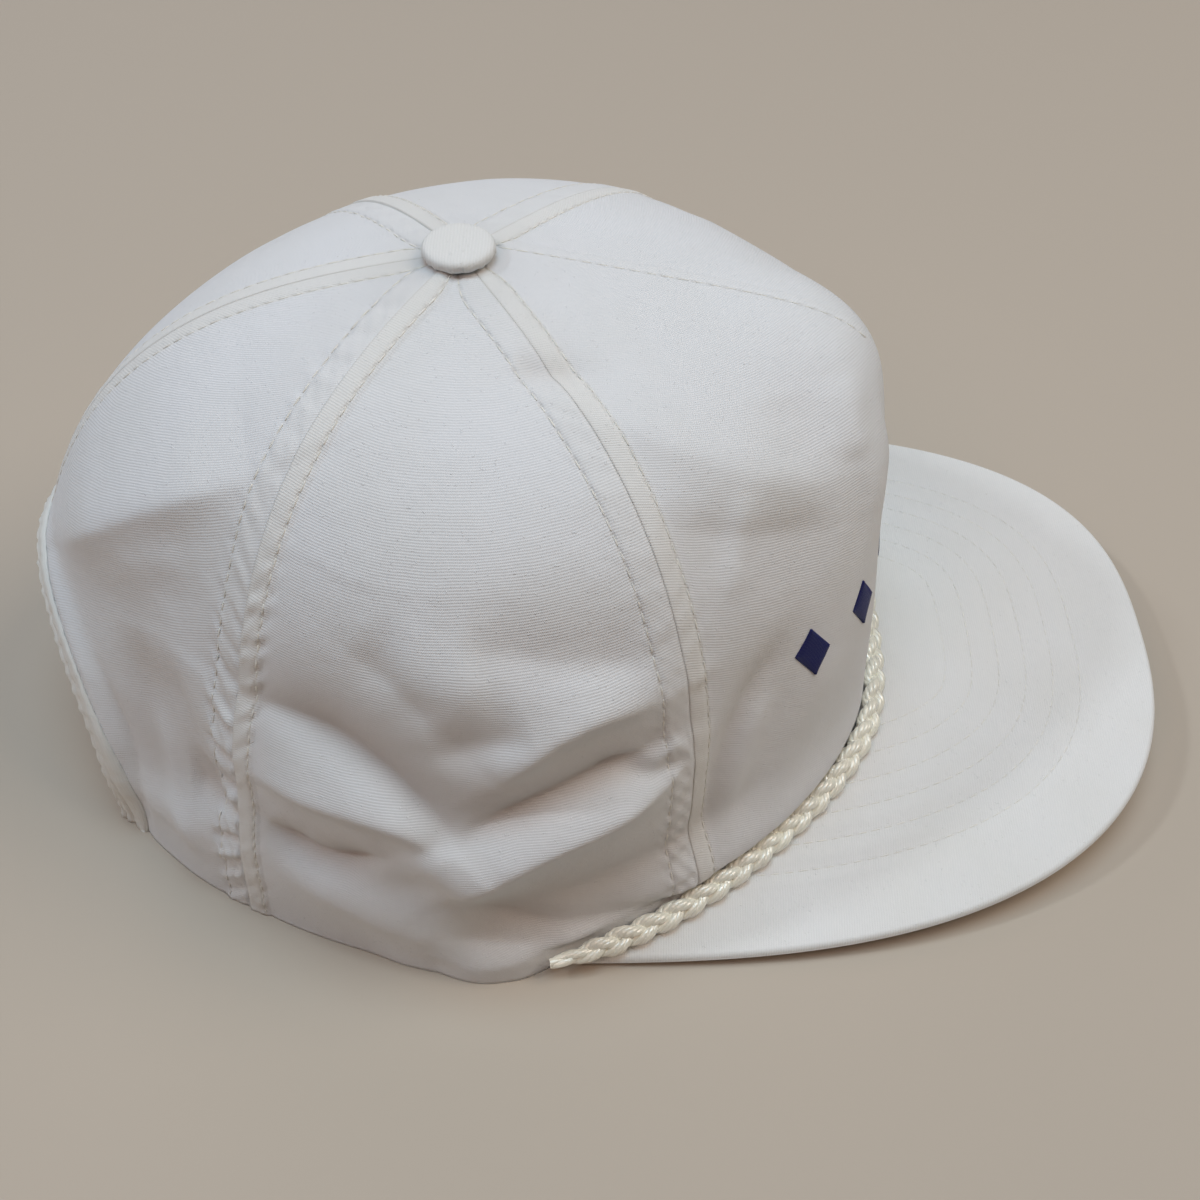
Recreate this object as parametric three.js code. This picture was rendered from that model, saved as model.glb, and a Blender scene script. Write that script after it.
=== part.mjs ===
// A five-panel rope cap with a flat brim, a high crown and a snap strap, as it lies on a table.
// Units are millimetres. +Z is up, the brim points along -Y, and the wearer's right is -X.
// The crown is worked out about its own axis, and the finished cap is then centred on its box.
import * as THREE from "three";

// Crown: an oval rim, and one meridian for every angle round it.
const CROWN_HALF_WIDTH = 90.5;
const CROWN_FRONT_REACH = 98.2;
const CROWN_REAR_REACH = 109.4;
const CROWN_OVAL_POWER = 1.78;
const CROWN_HEIGHT = 128.6;
const TOP_OFFSET = 0.6;
const TOP_HOLE_SHARE = 0.045;
const CLOTH = 1.5;
const GAP = 0.3;

// Meridians by angle from the front: how square the profile is, how high its shoulder stands,
// how far it leans out at the top, and how far it bulges halfway up.
const MERIDIANS = [
  { angle: 0, square: 7.8, shoulder: 113.7, lean: -1.2, bulge: -9.3 },
  { angle: 20, square: 5.2, shoulder: 113.8, lean: -4.4, bulge: 1.7 },
  { angle: 45, square: 4.2, shoulder: 114.2, lean: -1.7, bulge: -1.7 },
  { angle: 90, square: 3.1, shoulder: 113.5, lean: -1.2, bulge: -0.4 },
  { angle: 130, square: 2.65, shoulder: 118.0, lean: -2.2, bulge: -4.6 },
  { angle: 180, square: 3.1, shoulder: 111.0, lean: -12.5, bulge: 2.5 },
];

// Seams between the panels, by angle from the front.
const FRONT_SEAM = 56.2;
const REAR_SEAM = 124.8;
const BACK = 180;

// Folds in the slack cloth of the wearer's right side: a crease runs from one place to another,
// each given by angle and height, and pushes the cloth out (+) or in (-).
const FOLDS = [
  { from: [118, 73], to: [99, 67], width: 6, push: -2.6 },
  { from: [99, 67], to: [91, 52], width: 5, push: -2.6 },
  { from: [116, 57], to: [94, 55], width: 7, push: 1.4 },
  { from: [120, 40], to: [109, 35], width: 5, push: -2.4 },
  { from: [109, 35], to: [95, 48], width: 5, push: -2.4 },
  { from: [61, 66], to: [82, 61], width: 6, push: -2.8 },
  { from: [61, 51], to: [77, 47], width: 7, push: 1.6 },
  { from: [77, 47], to: [92, 40], width: 7, push: 1.4 },
  { from: [60, 41], to: [72, 33], width: 8, push: -2.0 },
  { from: [72, 33], to: [90, 23], width: 7, push: -1.8 },
  { from: [34, 106], to: [38, 98], width: 9, push: -1.6 },
  { from: [36, 70], to: [46, 30], width: 7, push: -1.2 },
  { from: [136, 104], to: [160, 72], width: 12, push: -1.4 },
];
const FOLD_FADE_HEIGHT = 10;

// Rear opening, its bound edge and the strap that closes it.
const ARCH_HALF_ANGLE = 31;
const ARCH_HEIGHT = 56;
const BINDING_RADIUS = 1.6;
const STRAP_HALF_ANGLE = 43;
const STRAP_LOW = 3;
const STRAP_HIGH = 22;
const STRAP_THICKNESS = 1.6;

// Brim: a flat tongue with a slight forward rise and camber.
const BRIM_HALF_WIDTH = 88.8;
const BRIM_REACH = 143;
const BRIM_ROOT_Y = -23.3;
const BRIM_OVAL_POWER = 2.64;
const BRIM_END_HEIGHT = 2.8;
const BRIM_RISE_DEGREES = 2.2;
const BRIM_CAMBER = 8.2;
const BRIM_THICKNESS = 2.6;
const BRIM_END_ANGLE = 74.5;
const PANEL_TUCK = 1.5;

// Rope along the joint of crown and brim, and the covered button on top.
const ROPE_RADIUS = 2.7;
const ROPE_END_ANGLE = 79;
const BUTTON_RADIUS = 7.5;
const BUTTON_EDGE = 1.0;
const BUTTON_THICKNESS = 3.2;

const COLOURS = { cloth: 0xdcdde0, brim: 0xe2e2e2, rope: 0xe9e3d0, binding: 0xe4e0d6, strap: 0xe8e8e6 };
const DEGREE = Math.PI / 180;
const MM_PER_DEGREE = 1.6;

// Smooth reading of a meridian's sizes at any angle, the same on both sides of the cap.
function meridianAt(angle) {
  const away = Math.abs(THREE.MathUtils.euclideanModulo(angle + BACK, 2 * BACK) - BACK);
  const last = MERIDIANS.length - 1;
  const row = (k) => {
    if (k < 0) return { ...MERIDIANS[-k], angle: -MERIDIANS[-k].angle };
    if (k > last) return { ...MERIDIANS[2 * last - k], angle: 2 * BACK - MERIDIANS[2 * last - k].angle };
    return MERIDIANS[k];
  };
  let k = 0;
  while (k < last - 1 && away >= MERIDIANS[k + 1].angle) k += 1;
  const [before, start, end, after] = [row(k - 1), row(k), row(k + 1), row(k + 2)];
  const span = end.angle - start.angle;
  const s = (away - start.angle) / span;
  const read = (key) => {
    const startSlope = (end[key] - before[key]) / (end.angle - before.angle);
    const endSlope = (after[key] - start[key]) / (after.angle - start.angle);
    const startPart = (2 * s ** 3 - 3 * s ** 2 + 1) * start[key] + (s ** 3 - 2 * s ** 2 + s) * span * startSlope;
    const endPart = (3 * s ** 2 - 2 * s ** 3) * end[key] + (s ** 3 - s ** 2) * span * endSlope;
    return startPart + endPart;
  };
  return { square: read("square"), shoulder: read("shoulder"), lean: read("lean"), bulge: read("bulge") };
}

// Distance from the crown's axis to the rim oval.
function rimRadius(angle) {
  const reach = Math.cos(angle * DEGREE) > 0 ? CROWN_FRONT_REACH : CROWN_REAR_REACH;
  const across = (Math.abs(Math.sin(angle * DEGREE)) / CROWN_HALF_WIDTH) ** CROWN_OVAL_POWER;
  const along = (Math.abs(Math.cos(angle * DEGREE)) / reach) ** CROWN_OVAL_POWER;
  return (across + along) ** (-1 / CROWN_OVAL_POWER);
}

// The smooth crown: climb 0 is the rim and climb 1 the middle of the top.
function smoothCrown(angle, climb) {
  const m = meridianAt(angle);
  const turn = (climb * Math.PI) / 2;
  const size = (Math.abs(Math.cos(turn)) ** m.square + Math.abs(Math.sin(turn)) ** m.square) ** (-1 / m.square);
  const out = Math.cos(turn) * size;
  const up = Math.sin(turn) * size;
  const radius = (rimRadius(angle) + m.lean * up + m.bulge * 4 * up * (1 - up)) * out;
  const x = -radius * Math.sin(angle * DEGREE);
  const y = -radius * Math.cos(angle * DEGREE) + TOP_OFFSET * (1 - out);
  return new THREE.Vector3(x, y, m.shoulder * up + (CROWN_HEIGHT - m.shoulder) * (1 - out));
}

function crownNormal(angle, climb) {
  const step = 0.004;
  const low = Math.min(Math.max(climb, step), 1 - 2 * step);
  const round = smoothCrown(angle + 0.4, low).sub(smoothCrown(angle - 0.4, low));
  const rise = smoothCrown(angle, low + step).sub(smoothCrown(angle, low - step));
  return rise.cross(round).normalize();
}

function foldPush(angle, height) {
  const here = new THREE.Vector2(angle * MM_PER_DEGREE, height);
  let push = 0;
  for (const fold of FOLDS) {
    const start = new THREE.Vector2(fold.from[0] * MM_PER_DEGREE, fold.from[1]);
    const along = new THREE.Vector2(fold.to[0] * MM_PER_DEGREE, fold.to[1]).sub(start);
    const share = THREE.MathUtils.clamp(here.clone().sub(start).dot(along) / along.lengthSq(), 0, 1);
    const away = here.distanceTo(start.addScaledVector(along, share));
    push += fold.push * Math.exp(-((away / fold.width) ** 2));
  }
  return push * THREE.MathUtils.smoothstep(height, 0, FOLD_FADE_HEIGHT);
}

// A point on the folded crown, set in from its outer face by the given depth.
function crownPoint(angle, climb, depth, level = false) {
  const point = smoothCrown(angle, climb);
  const normal = crownNormal(angle, climb);
  if (level) normal.setZ(0).normalize();
  return point.clone().addScaledVector(normal, foldPush(angle, point.z) - depth);
}

function climbAtHeight(angle, height) {
  let low = 0;
  let high = 0.8;
  for (let pass = 0; pass < 40; pass += 1) {
    const middle = (low + high) / 2;
    if (smoothCrown(angle, middle).z < height) low = middle;
    else high = middle;
  }
  return height <= 0 ? 0 : (low + high) / 2;
}

function wallPoint(angle, height, depth) {
  const point = crownPoint(angle, climbAtHeight(angle, height), depth, true);
  return point.setZ(height);
}

function brimTop(x, y) {
  const rise = Math.tan(BRIM_RISE_DEGREES * DEGREE) * (BRIM_ROOT_Y - y);
  return BRIM_END_HEIGHT + rise + BRIM_CAMBER * (1 - (x / BRIM_HALF_WIDTH) ** 2);
}

// Height of the brim's top face where it meets the crown.
function jointHeight(angle) {
  let height = BRIM_END_HEIGHT;
  for (let pass = 0; pass < 4; pass += 1) {
    const point = wallPoint(angle, height, 0);
    height = brimTop(point.x, point.y);
  }
  return height;
}

// Lower edge of the crown cloth: under the brim, round the rear opening, and flat elsewhere.
function lowerEdge(angle) {
  const away = Math.abs(angle);
  if (away < BRIM_END_ANGLE) return Math.max(0, jointHeight(angle) - BRIM_THICKNESS - PANEL_TUCK);
  const edgeAngle = ARCH_HALF_ANGLE + (BINDING_RADIUS + GAP) / MM_PER_DEGREE;
  const edgeHeight = ARCH_HEIGHT + BINDING_RADIUS + GAP;
  const share = Math.min(1, (BACK - away) / edgeAngle);
  return edgeHeight * Math.sqrt(1 - share ** 2);
}

// A closed sheet from two faces over one grid, turned to face outwards.
function closedSheet(columns, rows, outer, inner) {
  const wide = columns + 1;
  const layer = wide * (rows + 1);
  const places = [];
  for (const face of [outer, inner]) {
    for (let j = 0; j <= rows; j += 1) {
      for (let i = 0; i <= columns; i += 1) places.push(face(i, j));
    }
  }
  const triangles = [];
  const quad = (a, b, c, d) => triangles.push([a, b, c], [a, c, d]);
  const at = (i, j, face) => face * layer + j * wide + i;
  for (let j = 0; j < rows; j += 1) {
    for (let i = 0; i < columns; i += 1) {
      quad(at(i, j, 0), at(i + 1, j, 0), at(i + 1, j + 1, 0), at(i, j + 1, 0));
      quad(at(i, j, 1), at(i, j + 1, 1), at(i + 1, j + 1, 1), at(i + 1, j, 1));
    }
  }
  for (let i = 0; i < columns; i += 1) {
    quad(at(i, 0, 0), at(i, 0, 1), at(i + 1, 0, 1), at(i + 1, 0, 0));
    quad(at(i, rows, 0), at(i + 1, rows, 0), at(i + 1, rows, 1), at(i, rows, 1));
  }
  for (let j = 0; j < rows; j += 1) {
    quad(at(0, j, 0), at(0, j + 1, 0), at(0, j + 1, 1), at(0, j, 1));
    quad(at(columns, j, 0), at(columns, j, 1), at(columns, j + 1, 1), at(columns, j + 1, 0));
  }
  const volume = triangles.reduce((sum, [a, b, c]) => {
    return sum + places[a].dot(places[b].clone().cross(places[c]));
  }, 0);
  const facing = volume > 0 ? triangles : triangles.map(([a, b, c]) => [a, c, b]);
  const geometry = new THREE.BufferGeometry();
  geometry.setAttribute("position", new THREE.Float32BufferAttribute(places.flatMap((p) => p.toArray()), 3));
  geometry.setIndex(facing.flat());
  geometry.computeVertexNormals();
  return geometry;
}

// Angles across a panel. Those over the rear opening bunch towards its foot, where its edge is steep.
function panelAngles(from, to, columns) {
  const angles = [];
  if (to < BACK) {
    for (let i = 0; i <= columns; i += 1) angles.push(THREE.MathUtils.lerp(from, to, i / columns));
    return angles;
  }
  const edgeAngle = ARCH_HALF_ANGLE + (BINDING_RADIUS + GAP) / MM_PER_DEGREE;
  const plain = Math.round(columns * 0.35);
  const arched = columns - plain;
  for (let i = 0; i < plain; i += 1) angles.push(THREE.MathUtils.lerp(from, BACK - edgeAngle, i / plain));
  for (let i = 0; i <= arched; i += 1) {
    angles.push(BACK - edgeAngle * Math.cos((i / arched) * 90 * DEGREE));
  }
  return angles;
}

function crownPanel(from, to, columns, rows, side) {
  const angles = panelAngles(from, to, columns);
  const top = 1 - TOP_HOLE_SHARE * 0.7;
  const seams = (i, radius) => {
    const share = (angles[i] - from) / (to - from);
    const trim = GAP / 2 / radius / DEGREE;
    return THREE.MathUtils.lerp(from + trim, to - trim, share) * side;
  };
  const place = (depth) => (i, j) => {
    const edge = climbAtHeight(angles[i] * side, lowerEdge(angles[i]));
    const climb = THREE.MathUtils.lerp(edge, top, j / rows);
    const radius = Math.hypot(smoothCrown(angles[i], climb).x, smoothCrown(angles[i], climb).y - TOP_OFFSET);
    return crownPoint(seams(i, radius), climb, depth, j === 0);
  };
  return closedSheet(columns, rows, place(0), place(CLOTH));
}

function brimGeometry() {
  const columns = 44;
  const rows = 7;
  const place = (drop) => (i, j) => {
    const share = (2 * i) / columns - 1;
    const angle = share * BRIM_END_ANGLE;
    const root = wallPoint(angle, jointHeight(angle) - drop, -GAP);
    const turn = share * 90 * DEGREE;
    const across = (Math.abs(Math.sin(turn)) / BRIM_HALF_WIDTH) ** BRIM_OVAL_POWER;
    const along = (Math.abs(Math.cos(turn)) / BRIM_REACH) ** BRIM_OVAL_POWER;
    const reach = (across + along) ** (-1 / BRIM_OVAL_POWER);
    const x = THREE.MathUtils.lerp(root.x, -reach * Math.sin(turn), j / rows);
    const y = THREE.MathUtils.lerp(root.y, BRIM_ROOT_Y - reach * Math.cos(turn), j / rows);
    return new THREE.Vector3(x, y, brimTop(x, y) - drop);
  };
  return closedSheet(columns, rows, place(0), place(BRIM_THICKNESS));
}

function strapGeometry() {
  const columns = 22;
  const rows = 2;
  const inset = CLOTH / 2 + BINDING_RADIUS + GAP;
  const place = (depth) => (i, j) => {
    const angle = BACK - STRAP_HALF_ANGLE + (2 * STRAP_HALF_ANGLE * i) / columns;
    return wallPoint(angle, THREE.MathUtils.lerp(STRAP_LOW, STRAP_HIGH, j / rows), inset + depth);
  };
  return closedSheet(columns, rows, place(0), place(STRAP_THICKNESS));
}

// A round cord of even thickness through the given points.
function tube(points, radius, steps, sides) {
  const outline = [];
  for (let i = 0; i < sides; i += 1) {
    const turn = (i / sides) * 2 * Math.PI;
    outline.push(new THREE.Vector2(radius * Math.cos(turn), radius * Math.sin(turn)));
  }
  const extrudePath = new THREE.CatmullRomCurve3(points);
  return new THREE.ExtrudeGeometry(new THREE.Shape(outline), { steps, extrudePath });
}

function bindingGeometry() {
  const points = [];
  const stations = 24;
  for (let i = 0; i <= stations; i += 1) {
    const turn = ((2 * i) / stations - 1) * 90 * DEGREE;
    const angle = BACK + ARCH_HALF_ANGLE * Math.sin(turn);
    const height = Math.max(BINDING_RADIUS / 4, ARCH_HEIGHT * Math.cos(turn));
    points.push(wallPoint(angle, height, CLOTH / 2));
  }
  return tube(points, BINDING_RADIUS, 40, 8);
}

function ropeGeometry() {
  const points = [];
  const stations = 32;
  for (let i = 0; i <= stations; i += 1) {
    const angle = ((2 * i) / stations - 1) * ROPE_END_ANGLE;
    points.push(wallPoint(angle, jointHeight(angle) + ROPE_RADIUS + GAP, -ROPE_RADIUS - GAP));
  }
  return tube(points, ROPE_RADIUS, 56, 8);
}

function buttonGeometry() {
  const profile = [new THREE.Vector2(0, 0), new THREE.Vector2(BUTTON_RADIUS - 0.6, 0)];
  const steps = 8;
  for (let i = 0; i <= steps; i += 1) {
    const turn = (i / steps) * 90 * DEGREE;
    const height = BUTTON_EDGE + (BUTTON_THICKNESS - BUTTON_EDGE) * Math.sin(turn);
    profile.push(new THREE.Vector2(i === steps ? 0 : BUTTON_RADIUS * Math.cos(turn), height));
  }
  return new THREE.LatheGeometry(profile, 28).rotateX(90 * DEGREE);
}

// Highest cloth round the hole in the crown's top, which the button covers.
function topEdgeHeight() {
  let height = 0;
  for (let angle = 0; angle < 2 * BACK; angle += 5) {
    height = Math.max(height, smoothCrown(angle, 1 - TOP_HOLE_SHARE * 0.7).z);
  }
  return height;
}

const cap = new THREE.Group();

function addPiece(name, geometry, colour, roughness) {
  const material = new THREE.MeshStandardMaterial({ color: colour, roughness, metalness: 0 });
  const mesh = new THREE.Mesh(geometry, material);
  mesh.name = name;
  cap.add(mesh);
  return mesh;
}

addPiece("front_panel", crownPanel(-FRONT_SEAM, FRONT_SEAM, 26, 16, 1), COLOURS.cloth, 0.9);
for (const [label, side] of [["right", 1], ["left", -1]]) {
  const sidePanel = crownPanel(FRONT_SEAM, REAR_SEAM, 18, 18, side);
  addPiece(`side_panel_${label}`, sidePanel, COLOURS.cloth, 0.9);
  const rearPanel = crownPanel(REAR_SEAM, BACK, 14, 14, side);
  addPiece(`rear_panel_${label}`, rearPanel, COLOURS.cloth, 0.9);
}
addPiece("brim", brimGeometry(), COLOURS.brim, 0.88);
addPiece("rope_braid", ropeGeometry(), COLOURS.rope, 0.45);
addPiece("rear_opening_binding", bindingGeometry(), COLOURS.binding, 0.85);
addPiece("snap_strap", strapGeometry(), COLOURS.strap, 0.5);
const button = addPiece("crown_button", buttonGeometry(), COLOURS.cloth, 0.9);
button.position.set(0, TOP_OFFSET, topEdgeHeight() + GAP);

// The cap's own origin is the middle of its box, on the surface that it rests on.
cap.updateMatrixWorld(true);
const middle = new THREE.Box3().setFromObject(cap).getCenter(new THREE.Vector3());
cap.position.set(-middle.x, -middle.y, 0);

export default cap;
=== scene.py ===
# %% [markdown]
# # A white rope cap
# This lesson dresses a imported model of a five-panel rope cap: a high crown of sewn twill, a stitched
# brim, a plaited rope along their joint, a covered button and an arched opening with a snap strap.
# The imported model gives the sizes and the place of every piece. Here each plain solid is replaced by
# a finished one, worked out from the same rules, with its seams, stitches, folds and weave.

import math
from collections import namedtuple

import bpy
import numpy as np
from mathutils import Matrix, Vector


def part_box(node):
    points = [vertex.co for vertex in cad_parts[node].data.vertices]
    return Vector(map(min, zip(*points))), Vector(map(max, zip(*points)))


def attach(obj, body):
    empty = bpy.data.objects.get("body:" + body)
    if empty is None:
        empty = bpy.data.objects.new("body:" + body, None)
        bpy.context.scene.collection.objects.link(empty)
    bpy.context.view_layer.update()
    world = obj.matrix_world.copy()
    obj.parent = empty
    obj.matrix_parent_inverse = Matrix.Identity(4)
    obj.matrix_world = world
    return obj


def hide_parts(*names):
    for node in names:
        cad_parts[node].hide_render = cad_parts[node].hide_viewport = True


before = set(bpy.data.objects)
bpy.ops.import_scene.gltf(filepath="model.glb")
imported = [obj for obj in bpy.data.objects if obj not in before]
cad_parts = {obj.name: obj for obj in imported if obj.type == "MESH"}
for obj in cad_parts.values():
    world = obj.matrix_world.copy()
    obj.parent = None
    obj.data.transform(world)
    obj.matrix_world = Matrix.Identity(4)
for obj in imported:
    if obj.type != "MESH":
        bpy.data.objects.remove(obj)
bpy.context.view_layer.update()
MM = 0.001
FULL_TURN = 2 * math.pi
print("nodes:", ", ".join(sorted(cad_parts)))

# %% [markdown]
# ## The crown's form
# A cap's crown is an oval at its rim and closes to a point at its button. One profile, a squared
# quarter circle, changes slowly from the front to the back: nearly square at the front, where the
# panel stands up and breaks into the top at a peak, and round at the back. Writing it as a function
# of an angle and a climb means that every seam, stitch and fold can be placed on the cloth by those
# two numbers.

# %% Sizes of the crown, brim and rear opening, in millimetres and degrees
# The four MERIDIAN rows after the angles belong together: at each angle they give how square the
# profile is, how high its shoulder stands, how far it leans out and how far it swells. The rows run
# past 0 and 180 degrees, so that a smooth curve can be read right up to both.
CROWN_HALF_WIDTH = 90.5
CROWN_FRONT_REACH = 98.2
CROWN_REAR_REACH = 109.4
CROWN_OVAL_POWER = 1.78
CROWN_HEIGHT = 128.6
TOP_OFFSET = 0.6
CLOTH = 1.4
MERIDIAN_ANGLE = np.array([-20, 0, 20, 45, 90, 130, 180, 230.0])
MERIDIAN_SQUARE = np.array([5.2, 7.8, 5.2, 4.2, 3.1, 2.65, 3.1, 2.65])
MERIDIAN_SHOULDER = np.array([113.8, 113.7, 113.8, 114.2, 113.5, 118, 111, 118.0])
MERIDIAN_LEAN = np.array([-4.4, -1.2, -4.4, -1.7, -1.2, -2.2, -12.5, -2.2])
MERIDIAN_BULGE = np.array([1.7, -9.3, 1.7, -1.7, -0.4, -4.6, 2.5, -4.6])
FRONT_SEAM = 56.2
REAR_SEAM = 124.8
BACK = 180.0
ARCH_HALF_ANGLE = 31.0
ARCH_HEIGHT = 56.0
BRIM_HALF_WIDTH = 88.8
BRIM_REACH = 143.0
BRIM_ROOT_Y = -23.3
BRIM_OVAL_POWER = 2.64
BRIM_END_HEIGHT = 2.8
BRIM_RISE = math.tan(math.radians(2.2))
BRIM_CAMBER = 8.2
BRIM_THICKNESS = 2.6
BRIM_END_ANGLE = 74.5
ROPE_END_ANGLE = 79.0
BUTTON_RADIUS = 7.5
CROWN_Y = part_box("brim")[0].y / MM + BRIM_REACH - BRIM_ROOT_Y
print(f"the crown's axis stands {CROWN_Y:.1f} mm behind the cap's own middle")


# %% Reading the profile at any angle
def smooth_between(value, low, high):
    """0 up to the low value, 1 from the high one on, and an even curve between them."""
    share = np.clip((value - low) / (high - low), 0, 1)
    return share * share * (3 - 2 * share)


def meridian(angle, sizes):
    """A size of the profile at an angle, read smoothly from its row of values."""
    away = np.abs((angle + BACK) % (2 * BACK) - BACK)
    k = np.clip(np.searchsorted(MERIDIAN_ANGLE, away, side="right") - 1, 1, len(sizes) - 3)
    span = MERIDIAN_ANGLE[k + 1] - MERIDIAN_ANGLE[k]
    s = (away - MERIDIAN_ANGLE[k]) / span
    start_slope = (sizes[k + 1] - sizes[k - 1]) / (MERIDIAN_ANGLE[k + 1] - MERIDIAN_ANGLE[k - 1])
    end_slope = (sizes[k + 2] - sizes[k]) / (MERIDIAN_ANGLE[k + 2] - MERIDIAN_ANGLE[k])
    start = (2 * s**3 - 3 * s**2 + 1) * sizes[k] + (s**3 - 2 * s**2 + s) * span * start_slope
    end = (3 * s**2 - 2 * s**3) * sizes[k + 1] + (s**3 - s**2) * span * end_slope
    return start + end


def rim_radius(angle):
    """Distance of the rim from the crown's axis: an oval that reaches further back than forward."""
    turn = np.radians(angle)
    reach = np.where(np.cos(turn) > 0, CROWN_FRONT_REACH, CROWN_REAR_REACH)
    across = (np.abs(np.sin(turn)) / CROWN_HALF_WIDTH) ** CROWN_OVAL_POWER
    along = (np.abs(np.cos(turn)) / reach) ** CROWN_OVAL_POWER
    return (across + along) ** (-1 / CROWN_OVAL_POWER)


def smooth_crown(angle, climb):
    """The crown before its folds. Climb 0 is the rim, and climb 1 the middle of the top."""
    angle, climb = np.broadcast_arrays(np.asarray(angle, float), np.asarray(climb, float))
    square = meridian(angle, MERIDIAN_SQUARE)
    shoulder = meridian(angle, MERIDIAN_SHOULDER)
    turn = climb * math.pi / 2
    size = (np.abs(np.cos(turn)) ** square + np.abs(np.sin(turn)) ** square) ** (-1 / square)
    out = np.cos(turn) * size
    up = np.sin(turn) * size
    swell = meridian(angle, MERIDIAN_BULGE) * 4 * up * (1 - up)
    radius = (rim_radius(angle) + meridian(angle, MERIDIAN_LEAN) * up + swell) * out
    side = np.radians(angle)
    x = -radius * np.sin(side)
    y = -radius * np.cos(side) + TOP_OFFSET * (1 - out)
    return np.stack([x, y, shoulder * up + (CROWN_HEIGHT - shoulder) * (1 - out)], -1)


print("the smooth crown is", round(float(smooth_crown(0, 1)[2]), 1), "mm high")


# %% The way the crown faces, and the climb at a height
NORMAL_TURN = 0.4
NORMAL_CLIMB = 0.004
HIGHEST_CLIMB = 0.8
HALVINGS = 30


def unit(vector):
    return vector / np.linalg.norm(vector, axis=-1, keepdims=True)


def crown_normal(angle, climb):
    """Which way the smooth crown faces, from points a little to each side, below and above."""
    low = np.clip(climb, NORMAL_CLIMB, 1 - 2 * NORMAL_CLIMB)
    round_it = smooth_crown(angle + NORMAL_TURN, low) - smooth_crown(angle - NORMAL_TURN, low)
    rise = smooth_crown(angle, low + NORMAL_CLIMB) - smooth_crown(angle, low - NORMAL_CLIMB)
    return unit(np.cross(rise, round_it))


def climb_at_height(angle, height):
    """The climb at which the smooth crown reaches a height, found by halving again and again."""
    angle, height = np.broadcast_arrays(np.asarray(angle, float), np.asarray(height, float))
    low = np.zeros(angle.shape)
    high = np.full(angle.shape, HIGHEST_CLIMB)
    for _ in range(HALVINGS):
        middle = (low + high) / 2
        under = smooth_crown(angle, middle)[..., 2] < height
        low = np.where(under, middle, low)
        high = np.where(under, high, middle)
    return np.where(height <= 0, 0, (low + high) / 2)


print("the front reaches half its height at a climb of", round(float(climb_at_height(0, 60)), 3))

# %% [markdown]
# ## Folds in slack cloth
# An empty crown sags, and its cloth breaks into creases. They could be left to a cloth simulation,
# but then nobody decides where they fall. Here each crease is a line on the cloth, given
# by angle and height, that pushes the cloth out or in and fades over one width above the line and
# another below it. A narrow width on one side makes a crisp edge, and a wide one a soft slope.

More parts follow.
